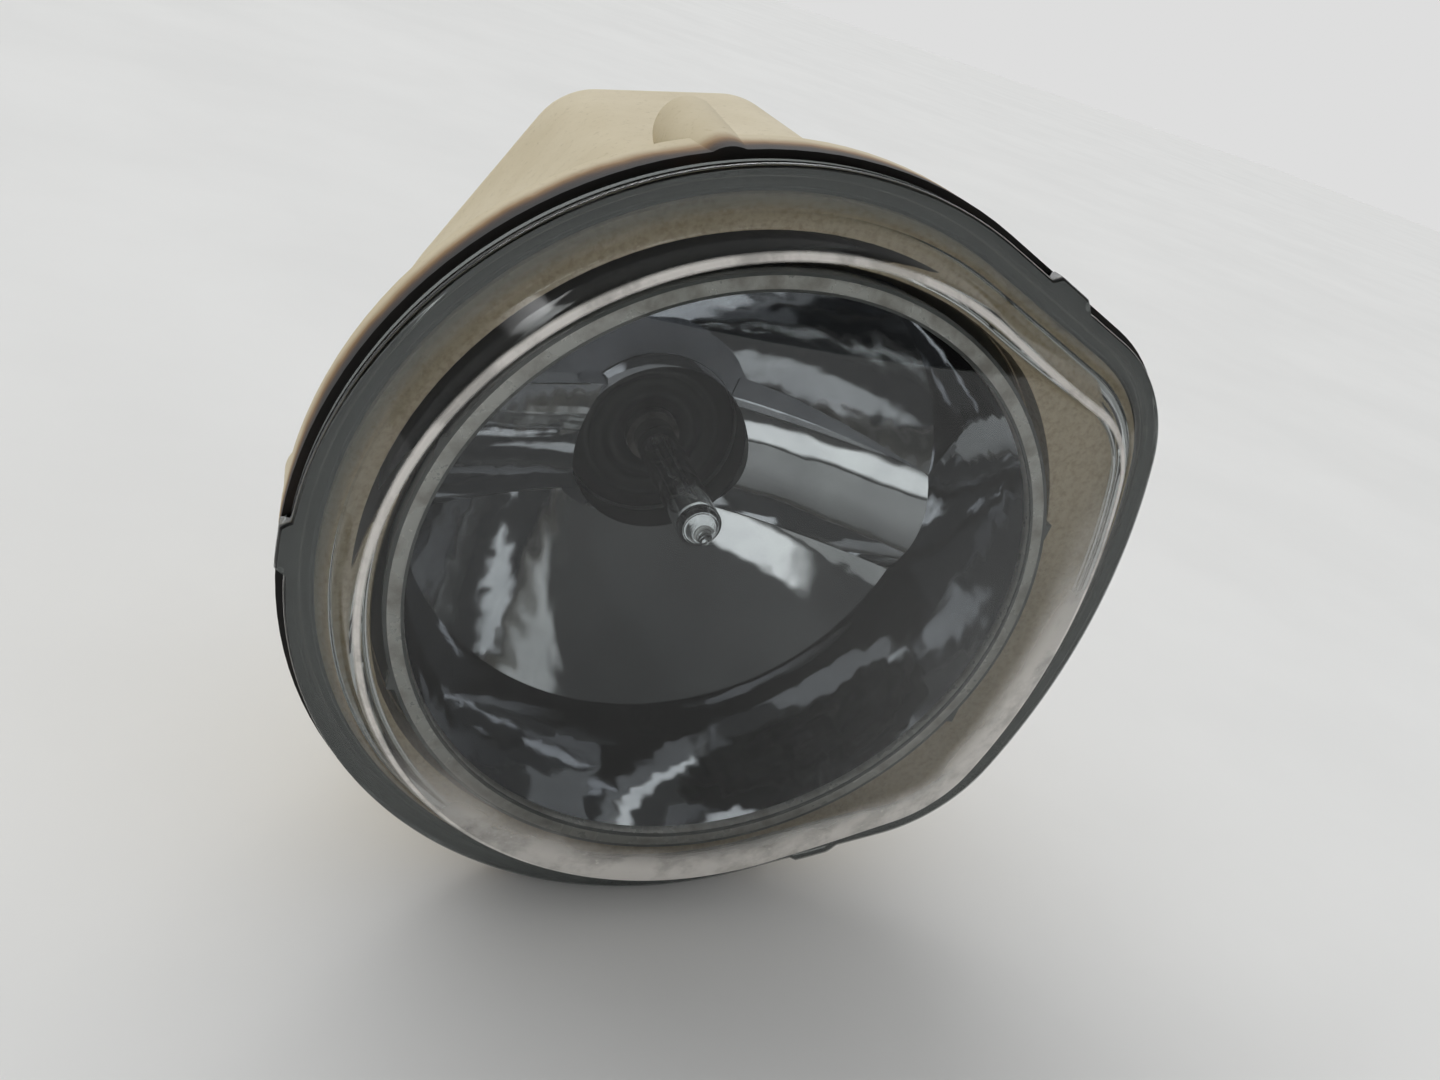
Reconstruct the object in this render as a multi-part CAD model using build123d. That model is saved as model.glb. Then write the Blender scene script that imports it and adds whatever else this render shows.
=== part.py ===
from build123d import *
import math
import os

os.makedirs("parts", exist_ok=True)

# Round fog light with a D-sided glass lens, a moulded bucket housing and a
# swivelling reflector that carries an H1 bulb.
# Working axes: +X to the right seen from the front, +Y up, +Z forwards along
# the optical axis, zero at the front face of the reflector lip.  to_frame()
# turns every piece into the shared frame: lens towards -Y, +Z up, origin on the
# axis in the plane of the three mounting sleeves.

# ---- Outline shared by the lens and the housing rim
MAIN_R = 59.3            # round part of the lens front edge
CORNER_R = 20.0          # radius of the two soft corners
CORNER_OUT = 7.3         # tip of each corner outside the round part
CORNER_DEG = 33.5        # direction of each corner, above and below the side
SIDE_OUT = 3.4           # middle of the bulged side outside the round part
FOOT_BULGE = 2.0         # extra reach of the corners and side at the foot of the lens

# ---- Lens
EDGE_Z = 6.2             # height of the lens front edge
DOME_RISE = 5.6          # middle of the lens in front of its edge
GLASS = 3.0              # glass thickness
WALL_SLOPE = 0.52        # spread of the side wall for each mm of depth
FLANGE_FRONT = -1.0
FLANGE_BACK = -4.5
FLANGE_OUT = 9.5         # flange edge outside the front edge
TONGUE_IN, TONGUE_OUT = 5.7, 7.3
TONGUE_DEEP = 2.0
KEY_DEGS = (58.0, 180.0, -58.0)
KEY_WIDE, KEY_OUT = 8.0, 1.3
KEY_ROOT = 10.0          # depth of a key inside the flange edge
OVER = 2.0               # cutters and blanks stand this far over the dome
FRONT_FILLET, FOOT_FILLET, FLANGE_FILLET = 1.6, 2.2, 0.9

# ---- Housing
RIM_OUT = 10.6           # rim edge outside the lens front edge
RIM_BACK = -9.5
SKIRT_BACK, SKIRT_WALL = -12.6, 2.6
GROOVE_SIDE = 0.8        # room for sealant each side of the tongue
GROOVE_DEEP = 3.4
DECK_IN = 1.1            # round opening in the deck inside the round part
BODY_IN = 3.8            # bucket inside the round part at the back
BODY_DRAFT = 5.0         # growth of its round part towards the rim
BODY_BACK = -74.0
BODY_WALL = 2.5
FLAT_DEGS = (103.0, -103.0)
SHOULDER_R = 14.0        # rounded shoulders at the ends of each flat
SHOULDER_IN = 7.0        # shoulder centres inside the round part
SHOULDER_SPREAD = 12.6   # each shoulder from the middle of its flat
BACK_FILLET = 8.0
INNER_CHAMFER = 3.0      # bevel inside the rounded back edge
TOWER_DEGS = (108.0, -108.0)
TOWER_OUT, TOWER_FRONT_OUT = 7.7, 5.9
TOWER_R = 5.2
TOWER_BACK = -27.0
STUB_R, STUB_PROUD = 2.6, 1.2
STUB_SHANK_R, STUB_SHANK = 1.8, 8.0
STUB_LIFT = 2.2          # plug centre outside the tower centre
POST_DEGS = (180.0, 60.0, -60.0)
POST_OUT = 4.7           # post centres outside the round part
POST_R = 5.6
POST_BACK = -25.0
INSERT_R, INSERT_LONG, INSERT_PROUD = 3.5, 11.0, 0.8
THREAD_R = 2.5           # M5 thread, drawn as its nominal bore
CORE_HOLE_DEEP = 14.0

# ---- Reflector
LIP_R, LIP_THICK = 55.0, 2.2
BOWL_R = 52.0            # mirror radius at the lip
SKIRT_R = 51.4           # mirror radius where the dish starts
FOCAL = 25.0
VERTEX_Z = -62.0
SHELL = 2.3
NECK_R = 18.0
BAR_HALF = 11.5
BAR_INNER_Z, BAR_OUTER_Z = -52.5, -35.0
BAR_SAG = 1.5            # hollow along each bar
BAR_ROOT = 0.4           # bars run this far into the neck and skirt
TILT_Z = -50.0           # height of the tilt axis behind the lip
PIVOT_X = 47.0
BALL_R, STUD_R = 3.6, 2.0
BALL_FIT = 0.05
PIVOT_BOSS_R, BOSS_GAP, STUD_LONG = 5.0, 5.0, 9.0
SOCKET_R, SOCKET_END = 6.0, 53.5
PEG_R = 3.0
LIP_TAB_DEGS = (22.0, 158.0, 202.0, 338.0)
LIP_TAB, LIP_TAB_IN = 3.0, 0.8
CUP_RECESS = 1.6         # open face of each pivot cup short of the ball centre

# ---- Bulb and its clip
SEAT_Z = -62.0
CAPSULE_R, CAPSULE_WALL = 4.15, 0.7
CAPSULE_TIP = -20.0
PIP_R, PIP_LONG = 1.3, 2.0
COLLAR_R, COLLAR_LONG = 5.5, 3.6
BULB_FLANGE_R, BULB_FLANGE_THICK = 10.0, 0.9
INSULATOR_R, INSULATOR_LONG = 5.0, 6.2
TAB_WIDE, TAB_THICK, TAB_LONG = 6.3, 0.8, 8.0
TAB_ROOT, TAB_CHAMFER = 1.5, 1.2
NOTCH_WIDE, NOTCH_DEEP = 3.0, 2.0   # locating notch in the bulb flange
CAPSULE_FOOT = 1.0       # capsule bottom above the seat
PIP_ROOT = 0.6
COIL_R, COIL_LONG, COIL_PITCH, COIL_WIRE = 0.75, 4.5, 0.75, 0.14
LEAD_R, FAR_LEAD_X, LEAD_JOG = 0.3, 2.4, 2.0
CARRIER_THICK = 2.6
WIRE_R = 0.7
PIN_R, PIN_FIT = 1.0, 0.05
PIN_Y, PIN_Z = -16.5, -65.5
LOOP_X, LOOP_R, LOOP_LONG = 7.0, 2.3, 1.6
LUG_X, LUG_THICK, LUG_HIGH, LUG_BACK = 10.6, 2.2, 5.0, 2.4
CLIP_TOP_Y, CLIP_Z = 14.0, -63.9
CATCH_WIDE, CATCH_ARM, CATCH_LIP = 8.0, 3.2, 2.9
CATCH_BACK, CATCH_Y, CATCH_GAP = 2.6, 18.4, 0.4

# ---- Aim adjuster
SCREW_GAP = 4.65         # bush flange clear of the cap
SCREW_R, SCREW_FIT = 2.5, 0.05
SCREW_AHEAD, SCREW_BEHIND = 4.0, 10.0   # ahead of the tilt axis, behind the back wall
NUT_R, NUT_SOCKET_R, NUT_SOCKET_OUT = 5.0, 5.4, 7.4
NUT_SOCKET_HALF = 6.0
WEB = 8.0                # arm that carries the nut socket
SCREW_SLOT_R = 3.4
SCREW_CHAMFER = 0.6
BUSH_R, BUSH_FLANGE_R, BUSH_FLANGE, BUSH_PROUD = 4.5, 7.0, 2.0, 1.5
KNOB_R, KNOB_LONG, KNOB_GAP = 6.4, 8.4, 0.4
KNOB_FLUTES, FLUTE_R = 10, 1.1
RING_R, RING_THICK, RING_GAP = 4.6, 0.9, 0.4

# ---- Rear cap, vent and connector
HATCH_R = 30.0
COLLAR_WALL, COLLAR_DEEP = 3.0, 10.0
GASKET_THICK, GASKET_FIT, GASKET_LONG = 1.6, 0.05, 6.0
CAP_WALL, CAP_DEEP, CAP_GAP = 2.4, 26.5, 0.8
CAP_GRIPS, GRIP_WIDE, GRIP_OUT = 12, 3.0, 1.3
VENT_DEG, VENT_GAP, VENT_OUT = 134.0, 1.05, 9.6
SPIGOT_R, SPIGOT_BORE, SPIGOT_LONG = 3.0, 1.6, 6.0
ELBOW_WALL, ELBOW_DEEP, ELBOW_BORE = 1.6, 12.0, 1.3
BRANCH_DEEP, BRANCH_R, BRANCH_BORE = 8.4, 2.8, 1.8
ELBOW_FILLET = 1.2
FILTER_LONG, FILTER_IN = 3.0, 1.0
PLUG_GAP = 3.15          # plug socket clear of the cap
PLUG_WIDE, PLUG_HIGH, PLUG_LONG, PLUG_WALL = 17.0, 11.0, 16.0, 1.5
PLUG_FLOOR = 4.5         # solid foot of the socket behind the blades' cavity
LATCH_WIDE, LATCH_THICK, LATCH_BACK = 5.0, 1.6, 5.0
NECK_WIDE, NECK_HIGH, NECK_LONG = 13.0, 7.0, 5.0
BLADE_WIDE, BLADE_THICK, BLADE_X = 2.8, 0.8, 3.3
BLADE_AHEAD, BLADE_BEHIND = 8.0, 12.0   # each side of the outside of the back wall

# ---- Places that follow from the sizes above
BODY_R = MAIN_R - BODY_IN
MOUTH_R = MAIN_R - DECK_IN
SHOULDER_REACH = MAIN_R - SHOULDER_IN
TOWER_REACH, TOWER_FRONT_REACH = MAIN_R + TOWER_OUT, MAIN_R + TOWER_FRONT_OUT
POST_CIRCLE_R = MAIN_R + POST_OUT
CAP_REACH = HATCH_R + COLLAR_WALL + GASKET_FIT + GASKET_THICK + CAP_WALL + GRIP_OUT
CAP_BACK = BODY_BACK - CAP_DEEP
SCREW_Y = CAP_REACH + SCREW_GAP + BUSH_FLANGE_R
SCREW_TIP, SCREW_END = TILT_Z + SCREW_AHEAD, BODY_BACK - SCREW_BEHIND
VENT_REACH = CAP_REACH + VENT_GAP + SPIGOT_R + ELBOW_WALL
VENT_TIP = VENT_REACH + VENT_OUT
ELBOW_BACK, BRANCH_Z = BODY_BACK - ELBOW_DEEP, BODY_BACK - BRANCH_DEEP
PLUG_Y = -(CAP_REACH + PLUG_GAP + PLUG_HIGH / 2)
BLADE_FRONT, BLADE_BACK = BODY_BACK + BLADE_AHEAD, BODY_BACK - BLADE_BEHIND

EPS = 0.01               # lets a cutter run clear of the face it leaves


def polar(radius, degrees, z=0.0):
    """Point at a radius and direction, at height z."""
    angle = math.radians(degrees)
    return Vector(radius * math.cos(angle), radius * math.sin(angle), z)


def tangent_degrees(centre_a, radius_a, centre_b, radius_b):
    """Outward normal, in degrees, of the line touching circle a and then circle b."""
    gap = centre_b - centre_a
    lean = math.acos((radius_a - radius_b) / gap.length)
    return math.degrees(math.atan2(gap.Y, gap.X) - lean)


def arc_between(centre, radius, start, end):
    """Counter-clockwise arc between two directions."""
    sweep_degrees = (end - start) % 360
    points = [centre + polar(radius, start + sweep_degrees * step / 2) for step in range(3)]
    return ThreePointArc(*points)


def lens_outline(offset, z, bulge=0.0):
    """Face of the lens outline grown by offset: a round, two soft corners and a bulged side."""
    side_x = MAIN_R + SIDE_OUT + bulge
    corner = polar(MAIN_R + CORNER_OUT + bulge - CORNER_R, CORNER_DEG)
    lower = Vector(corner.X, -corner.Y, 0)
    inset = corner.X - side_x
    side_r = (CORNER_R**2 - inset**2 - corner.Y**2) / (2 * (inset + CORNER_R))
    side = Vector(side_x - side_r, 0, 0)
    turn = math.degrees(math.atan2(corner.Y, corner.X - side.X))
    lean = tangent_degrees(corner, CORNER_R, Vector(0, 0, 0), MAIN_R)
    small, large = CORNER_R + offset, MAIN_R + offset
    edges = [
        arc_between(side, side_r + offset, -turn, turn),
        arc_between(corner, small, turn, lean),
        Line(corner + polar(small, lean), polar(large, lean)),
        arc_between(Vector(0, 0, 0), large, lean, -lean),
        Line(polar(large, -lean), lower + polar(small, -lean)),
        arc_between(lower, small, -lean, -turn),
    ]
    return Pos(0, 0, z) * make_face(edges)


def rim_outline(offset, z):
    """Face of the outline at the foot of the lens, shared by the flange, groove and rim."""
    return lens_outline(offset, z, FOOT_BULGE)


def body_r(z):
    """Outside radius of the bucket's round part at a height."""
    return BODY_R + BODY_DRAFT * (z - BODY_BACK) / (RIM_BACK - BODY_BACK)


def body_outline(offset, z):
    """Face of the bucket section: a round with a flat above and a flat below."""
    circles = [(Vector(0, 0, 0), body_r(z) + offset)]
    for flat in FLAT_DEGS:
        for side in (-1, 1):
            centre = polar(SHOULDER_REACH, flat + side * SHOULDER_SPREAD)
            circles.append((centre, SHOULDER_R + offset))
        circles.append((Vector(0, 0, 0), body_r(z) + offset))
    circles.pop()
    count = len(circles)
    leans = [tangent_degrees(*circles[i], *circles[(i + 1) % count]) for i in range(count)]
    edges = []
    for i, (centre, radius) in enumerate(circles):
        edges.append(arc_between(centre, radius, leans[i - 1], leans[i]))
        following = circles[(i + 1) % count]
        ends = centre + polar(radius, leans[i]), following[0] + polar(following[1], leans[i])
        edges.append(Line(*ends))
    return Pos(0, 0, z) * make_face(edges)


def prism(outline, offset, low, high):
    """Straight solid of an outline between two heights."""
    return extrude(outline(offset, low), high - low)


def bucket(offset, low, soften, size):
    """Blank of the bucket from a height up to the rim, with its back edge softened."""
    blank = loft([body_outline(offset, low), body_outline(offset, RIM_BACK)], ruled=True)
    return soften(blank.faces().sort_by(Axis.Z)[0].edges(), size)


def rod(radius, low, high, at=(0, 0)):
    """Round bar parallel to the optical axis."""
    return Pos(at[0], at[1], (low + high) / 2) * Cylinder(radius, high - low)


def cross_rod(radius, start, end, y, z):
    """Round bar from left to right."""
    return Pos((start + end) / 2, y, z) * Rot(0, 90, 0) * Cylinder(radius, abs(end - start))


def block(wide, high, low, front, at=(0, 0)):
    """Rectangular bar parallel to the optical axis."""
    return Pos(at[0], at[1], (low + front) / 2) * Box(wide, high, front - low)


def wire_run(radius, *points):
    """Round wire through points, with ball joints at its bends."""
    run = None
    for start, end in zip(points, points[1:]):
        first, last = Vector(*start), Vector(*end)
        way = last - first
        piece = Plane(origin=first + way / 2, z_dir=way) * Cylinder(radius, way.length)
        run = piece if run is None else run + piece
    for bend in points[1:-1]:
        run += Pos(*bend) * Sphere(radius)
    return run


def to_frame(shape):
    """Put the origin in the seating plane, the lens towards -Y and +Z up."""
    return Rot(90, 0, 0) * Pos(0, 0, INSERT_PROUD - POST_BACK) * shape


def write(name, *solids):
    """Export one piece, or a group of identical ones, in the shared frame."""
    turned = [solid for shape in solids for solid in to_frame(shape).solids()]
    item = turned[0] if len(turned) == 1 else Compound(children=turned)
    export_step(item, f"parts/{name}.step")


def wall_offset(z):
    """How far the lens wall stands outside the front edge at a height."""
    return WALL_SLOPE * (EDGE_Z - z)


def wall_blank(shift, low, high):
    """Solid inside the sloping lens wall, or inside it by shift, between two heights."""
    sections = []
    for z in (low, high):
        bulge = FOOT_BULGE * (EDGE_Z - z) / (EDGE_Z - FLANGE_FRONT)
        sections.append(lens_outline(wall_offset(z) - shift, z, bulge))
    return loft(sections, ruled=True)


def dome(top):
    """Ball whose cap is the front of the lens, with its highest point at top."""
    radius = (MAIN_R**2 + DOME_RISE**2) / (2 * DOME_RISE)
    return Pos(0, 0, top - radius) * Sphere(radius)


def lens():
    """Domed glass with a sloping wall, a flange, a sealing tongue and three keys."""
    top = EDGE_Z + DOME_RISE
    outer = wall_blank(0, FLANGE_BACK, top + OVER) & dome(top)
    rim = outer.edges().filter_by(lambda edge: edge.center().Z > 0)
    outer = fillet(rim, FRONT_FILLET)
    flange = prism(rim_outline, FLANGE_OUT, FLANGE_BACK, FLANGE_FRONT)
    for degrees in KEY_DEGS:
        key = block(KEY_ROOT + KEY_OUT, KEY_WIDE, FLANGE_BACK, FLANGE_FRONT)
        middle = flange_reach(degrees) + (KEY_OUT - KEY_ROOT) / 2
        flange += Rot(0, 0, degrees) * Pos(middle, 0, 0) * key
    flange = fillet(flange.faces().sort_by(Axis.Z)[-1].edges(), FLANGE_FILLET)
    tongue = prism(rim_outline, TONGUE_OUT, FLANGE_BACK - TONGUE_DEEP, FLANGE_BACK)
    tongue -= prism(rim_outline, TONGUE_IN, FLANGE_BACK - TONGUE_DEEP - EPS, FLANGE_BACK)
    wall = GLASS * math.sqrt(1 + WALL_SLOPE**2)
    inner = wall_blank(wall, FLANGE_BACK - EPS, top + OVER) & dome(top - GLASS)
    body = outer + flange
    foot = [edge for edge in body.edges()
            if abs(edge.center().Z - FLANGE_FRONT) < EPS and on_wall_foot(edge)]
    body = fillet(foot, FOOT_FILLET)
    return body + tongue - inner


def flange_reach(degrees):
    """Distance from the axis to the flange edge in a direction."""
    ray = Line((0, 0, 0), polar(3 * MAIN_R, degrees))
    return (ray & rim_outline(FLANGE_OUT, 0)).length


def on_wall_foot(edge):
    """True for edges where the side wall meets the flange."""
    middle = edge @ 0.5
    here = math.degrees(math.atan2(middle.Y, middle.X))
    return math.hypot(middle.X, middle.Y) < flange_reach(here) - FLANGE_FILLET - 1


def sealant():
    """Bead lying in the rim groove under the tongue."""
    low, high = FLANGE_BACK - GROOVE_DEEP, FLANGE_BACK - TONGUE_DEEP
    bead = prism(rim_outline, TONGUE_OUT + GROOVE_SIDE, low, high)
    return bead - prism(rim_outline, TONGUE_IN - GROOVE_SIDE, low - EPS, high + EPS)


def post_at(degrees):
    """Centre of one mounting post."""
    centre = polar(POST_CIRCLE_R, degrees)
    return centre.X, centre.Y


def tower(degrees):
    """Round rib leaning in from its flat back end to the rim."""
    back = polar(TOWER_REACH, degrees, TOWER_BACK)
    way = polar(TOWER_FRONT_REACH, degrees, FLANGE_BACK) - back
    middle = back + way / 2
    bar = Plane(origin=middle, z_dir=way) * Cylinder(TOWER_R, way.length + 2 * TOWER_R)
    return bar & block(4 * TOWER_R, 4 * TOWER_R, TOWER_BACK, FLANGE_BACK, (middle.X, middle.Y))


def stub_at(degrees):
    """Centre of the plug in the back end of a tower."""
    centre = polar(TOWER_REACH + STUB_LIFT, degrees)
    return centre.X, centre.Y


def hatch_collar_r():
    """Outside radius of the collar round the rear opening."""
    return HATCH_R + COLLAR_WALL


def body_inner(z):
    """Radius of the bucket's round inner wall at a height."""
    return body_r(z) - BODY_WALL


def housing():
    """Moulded bucket: rim with a sealing groove, deck, skirt, posts and rear collar."""
    rim = prism(rim_outline, RIM_OUT, RIM_BACK, FLANGE_BACK)
    skirt = prism(rim_outline, RIM_OUT, SKIRT_BACK, RIM_BACK)
    skirt -= prism(rim_outline, RIM_OUT - SKIRT_WALL, SKIRT_BACK - EPS, RIM_BACK)
    shape = rim + skirt + bucket(0, BODY_BACK, fillet, BACK_FILLET)
    for degrees in TOWER_DEGS:
        shape += tower(degrees)
    shape += rod(hatch_collar_r(), BODY_BACK - COLLAR_DEEP, BODY_BACK + BODY_WALL)
    shape -= bucket(-BODY_WALL, BODY_BACK + BODY_WALL, chamfer, INNER_CHAMFER)
    shape -= rod(MOUTH_R, RIM_BACK - EPS, FLANGE_BACK + EPS)
    shape -= rod(HATCH_R, BODY_BACK - COLLAR_DEEP - EPS, BODY_BACK + 2 * BODY_WALL)
    groove_low, groove_high = FLANGE_BACK - GROOVE_DEEP, FLANGE_BACK + EPS
    groove = prism(rim_outline, TONGUE_OUT + GROOVE_SIDE, groove_low, groove_high)
    groove -= prism(rim_outline, TONGUE_IN - GROOVE_SIDE, groove_low, groove_high)
    shape -= groove
    for degrees in TOWER_DEGS:
        shape -= rod(STUB_SHANK_R, TOWER_BACK - EPS, TOWER_BACK + STUB_SHANK, stub_at(degrees))
    for degrees in POST_DEGS:
        shape += rod(POST_R, POST_BACK, RIM_BACK, post_at(degrees))
        shape -= rod(INSERT_R, POST_BACK - EPS, POST_BACK + INSERT_LONG, post_at(degrees))
        shape -= rod(THREAD_R, POST_BACK, POST_BACK + CORE_HOLE_DEEP, post_at(degrees))
    for side in (-1, 1):
        outside = body_inner(TILT_Z) + BODY_WALL / 2
        shape += cross_rod(SOCKET_R, side * SOCKET_END, side * outside, 0, TILT_Z)
        shape -= cross_rod(PEG_R, side * (SOCKET_END - EPS), side * outside, 0, TILT_Z)
    shape -= rod(BUSH_R, BODY_BACK - EPS, BODY_BACK + BODY_WALL + EPS, (0, SCREW_Y))
    vent = polar(VENT_REACH, VENT_DEG)
    shape += rod(SPIGOT_R, BODY_BACK - SPIGOT_LONG, BODY_BACK + EPS, (vent.X, vent.Y))
    shape -= rod(SPIGOT_BORE, BODY_BACK - SPIGOT_LONG - EPS, BODY_BACK + BODY_WALL + EPS, (vent.X, vent.Y))
    shape -= block(NECK_WIDE, NECK_HIGH, BODY_BACK - EPS, BODY_BACK + BODY_WALL + EPS, (0, PLUG_Y))
    return shape


def mounting_inserts():
    """Threaded steel sleeves in the three posts."""
    sleeves = []
    for degrees in POST_DEGS:
        low, high = POST_BACK - INSERT_PROUD, POST_BACK + INSERT_LONG
        sleeve = rod(INSERT_R, low, high, post_at(degrees))
        sleeves.append(sleeve - rod(THREAD_R, low - EPS, high + EPS, post_at(degrees)))
    return sleeves


def tower_plugs():
    """Dark plugs in the backs of the two towers."""
    plugs = []
    for degrees in TOWER_DEGS:
        at = stub_at(degrees)
        head = rod(STUB_R, TOWER_BACK - STUB_PROUD, TOWER_BACK, at)
        plugs.append(head + rod(STUB_SHANK_R, TOWER_BACK, TOWER_BACK + STUB_SHANK, at))
    return plugs


def dish_z(radius, drop=0.0):
    """Height of the paraboloid at a radius."""
    return VERTEX_Z + radius**2 / (4 * FOCAL) - drop


def dish_r(z):
    """Mirror radius at a height of the dish."""
    return math.sqrt(4 * FOCAL * (z - VERTEX_Z))


def dish_curve(inner_r, outer_r, drop=0.0):
    """Exact parabola between two radii, in the X-Z plane."""
    knot = (inner_r + outer_r) / 2
    knot_z = VERTEX_Z + inner_r * outer_r / (4 * FOCAL) - drop
    start, end = (inner_r, 0, dish_z(inner_r, drop)), (outer_r, 0, dish_z(outer_r, drop))
    return Bezier(start, (knot, 0, knot_z), end)


def turned(edges):
    """Solid of revolution round the optical axis."""
    return revolve(make_face(edges), Axis.Z, 360)


def path(*points):
    """Chain of straight edges in the X-Z plane."""
    return [Line((*a[:1], 0, a[1]), (*b[:1], 0, b[1])) for a, b in zip(points, points[1:])]


def bowl_space():
    """Air inside the reflector: neck, dish and skirt."""
    dish_edge = dish_z(SKIRT_R)
    sides = path((SKIRT_R, dish_edge), (BOWL_R, 0), (BOWL_R, 2), (0, 2), (0, SEAT_Z - 1),
                 (NECK_R, SEAT_Z - 1), (NECK_R, dish_z(NECK_R)))
    return turned([dish_curve(NECK_R, SKIRT_R)] + sides)


def bowl_envelope():
    """Everything inside the back surface of the reflector."""
    edge_r = SKIRT_R + SHELL
    edge_z = dish_z(edge_r, SHELL)
    neck = NECK_R + SHELL
    sides = path((edge_r, edge_z), (BOWL_R + SHELL, -LIP_THICK), (LIP_R, -LIP_THICK), (LIP_R, 0),
                 (0, 0), (0, SEAT_Z), (neck, SEAT_Z), (neck, dish_z(neck, SHELL)))
    return turned([dish_curve(neck, edge_r, SHELL)] + sides)


def reflector_bar(side):
    """Raised mirror bar across the dish, hollow-ground along its length."""
    inner_x, outer_x = side * (NECK_R - BAR_ROOT), side * (SKIRT_R + BAR_ROOT)
    middle_z = (BAR_INNER_Z + BAR_OUTER_Z) / 2 - BAR_SAG
    face = ThreePointArc((inner_x, -BAR_HALF, BAR_INNER_Z),
                         ((inner_x + outer_x) / 2, -BAR_HALF, middle_z),
                         (outer_x, -BAR_HALF, BAR_OUTER_Z))
    bottom = VERTEX_Z - SHELL
    corners = [(outer_x, -BAR_HALF, BAR_OUTER_Z), (outer_x, -BAR_HALF, bottom),
               (inner_x, -BAR_HALF, bottom), (inner_x, -BAR_HALF, BAR_INNER_Z)]
    section = make_face([face] + [Line(a, b) for a, b in zip(corners, corners[1:])])
    bar = extrude(section, 2 * BAR_HALF, dir=(0, 1, 0)) & bowl_envelope()
    return bar - rod(NECK_R, SEAT_Z - 1, 0)


def reflector():
    """Mirror bowl with bars, pivot bosses, adjuster socket and clip lugs."""
    envelope = bowl_envelope()
    shape = envelope
    for side in (-1, 1):
        shape += cross_rod(PIVOT_BOSS_R, side * NECK_R, side * (PIVOT_X - BOSS_GAP), 0, TILT_Z)
    socket = cross_rod(NUT_SOCKET_OUT, -NUT_SOCKET_HALF, NUT_SOCKET_HALF, SCREW_Y, TILT_Z)
    web_low = dish_r(TILT_Z) - 2
    web = (SCREW_Y - NUT_SOCKET_R + web_low) / 2
    socket += Pos(0, web, TILT_Z) * Box(WEB, SCREW_Y - NUT_SOCKET_R - web_low, WEB)
    socket -= cross_rod(NUT_SOCKET_R, -NUT_SOCKET_HALF - 1, NUT_SOCKET_HALF + 1, SCREW_Y, TILT_Z)
    socket -= rod(SCREW_SLOT_R, TILT_Z - 12, TILT_Z + 12, (0, SCREW_Y))
    shape += socket
    for side in (-1, 1):
        lug = block(LUG_THICK, LUG_HIGH, PIN_Z - LUG_BACK, SEAT_Z + 1, (side * LUG_X, PIN_Y))
        lug_in, lug_out = side * (LUG_X - LUG_THICK), side * (LUG_X + LUG_THICK)
        shape += lug - cross_rod(PIN_R, lug_in, lug_out, PIN_Y, PIN_Z)
    low = CLIP_Z - CATCH_BACK
    shape += block(CATCH_WIDE, CATCH_ARM, low, SEAT_Z + 1, (0, CATCH_Y))
    lip_y = CATCH_Y - CATCH_ARM / 2
    shape += block(CATCH_WIDE, CATCH_LIP, low, CLIP_Z - WIRE_R - CATCH_GAP, (0, lip_y))
    for degrees in LIP_TAB_DEGS:
        tab = polar(LIP_R - LIP_TAB_IN, degrees)
        shape += block(LIP_TAB, LIP_TAB, -LIP_THICK, 0, (tab.X, tab.Y))
    shape -= bowl_space()
    for side in (-1, 1):
        shape += reflector_bar(side)
        shape -= cross_rod(STUD_R, side * (PIVOT_X - STUD_LONG), side * PIVOT_X, 0, TILT_Z)
    return shape


def pivot_studs():
    """Ball studs pressed into the sides of the reflector."""
    studs = []
    for side in (-1, 1):
        ball = Pos(side * PIVOT_X, 0, TILT_Z) * Sphere(BALL_R)
        studs.append(ball + cross_rod(STUD_R, side * (PIVOT_X - STUD_LONG), side * PIVOT_X, 0, TILT_Z))
    return studs


def pivot_sockets():
    """Plastic cups pegged into the housing that hold the balls."""
    cups = []
    for side in (-1, 1):
        near, peg = PIVOT_X - CUP_RECESS, body_inner(TILT_Z) + BODY_WALL / 2
        cup = cross_rod(SOCKET_R, side * near, side * SOCKET_END, 0, TILT_Z)
        cup += cross_rod(PEG_R, side * SOCKET_END, side * peg, 0, TILT_Z)
        cups.append(cup - Pos(side * PIVOT_X, 0, TILT_Z) * Sphere(BALL_R + BALL_FIT))
    return cups


def bulb_carrier():
    """Dark ring in the neck of the reflector that seats the bulb."""
    ring = rod(NECK_R, SEAT_Z, SEAT_Z + CARRIER_THICK)
    return ring - rod(COLLAR_R, SEAT_Z - EPS, SEAT_Z + CARRIER_THICK + EPS)


def capsule_shape(shrink):
    """Closed capsule: tube with a round end."""
    radius = CAPSULE_R - shrink
    low, top = SEAT_Z + CAPSULE_FOOT + shrink, CAPSULE_TIP - CAPSULE_R
    return rod(radius, low, top) + Pos(0, 0, top) * Sphere(radius)


def bulb_glass():
    """Quartz capsule with a sealed tip."""
    middle = CAPSULE_TIP + (PIP_LONG - PIP_ROOT) / 2
    pip = Pos(0, 0, middle) * Cone(PIP_R, PIP_R / 2, PIP_LONG + PIP_ROOT)
    return capsule_shape(0) + pip - capsule_shape(CAPSULE_WALL)


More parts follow.
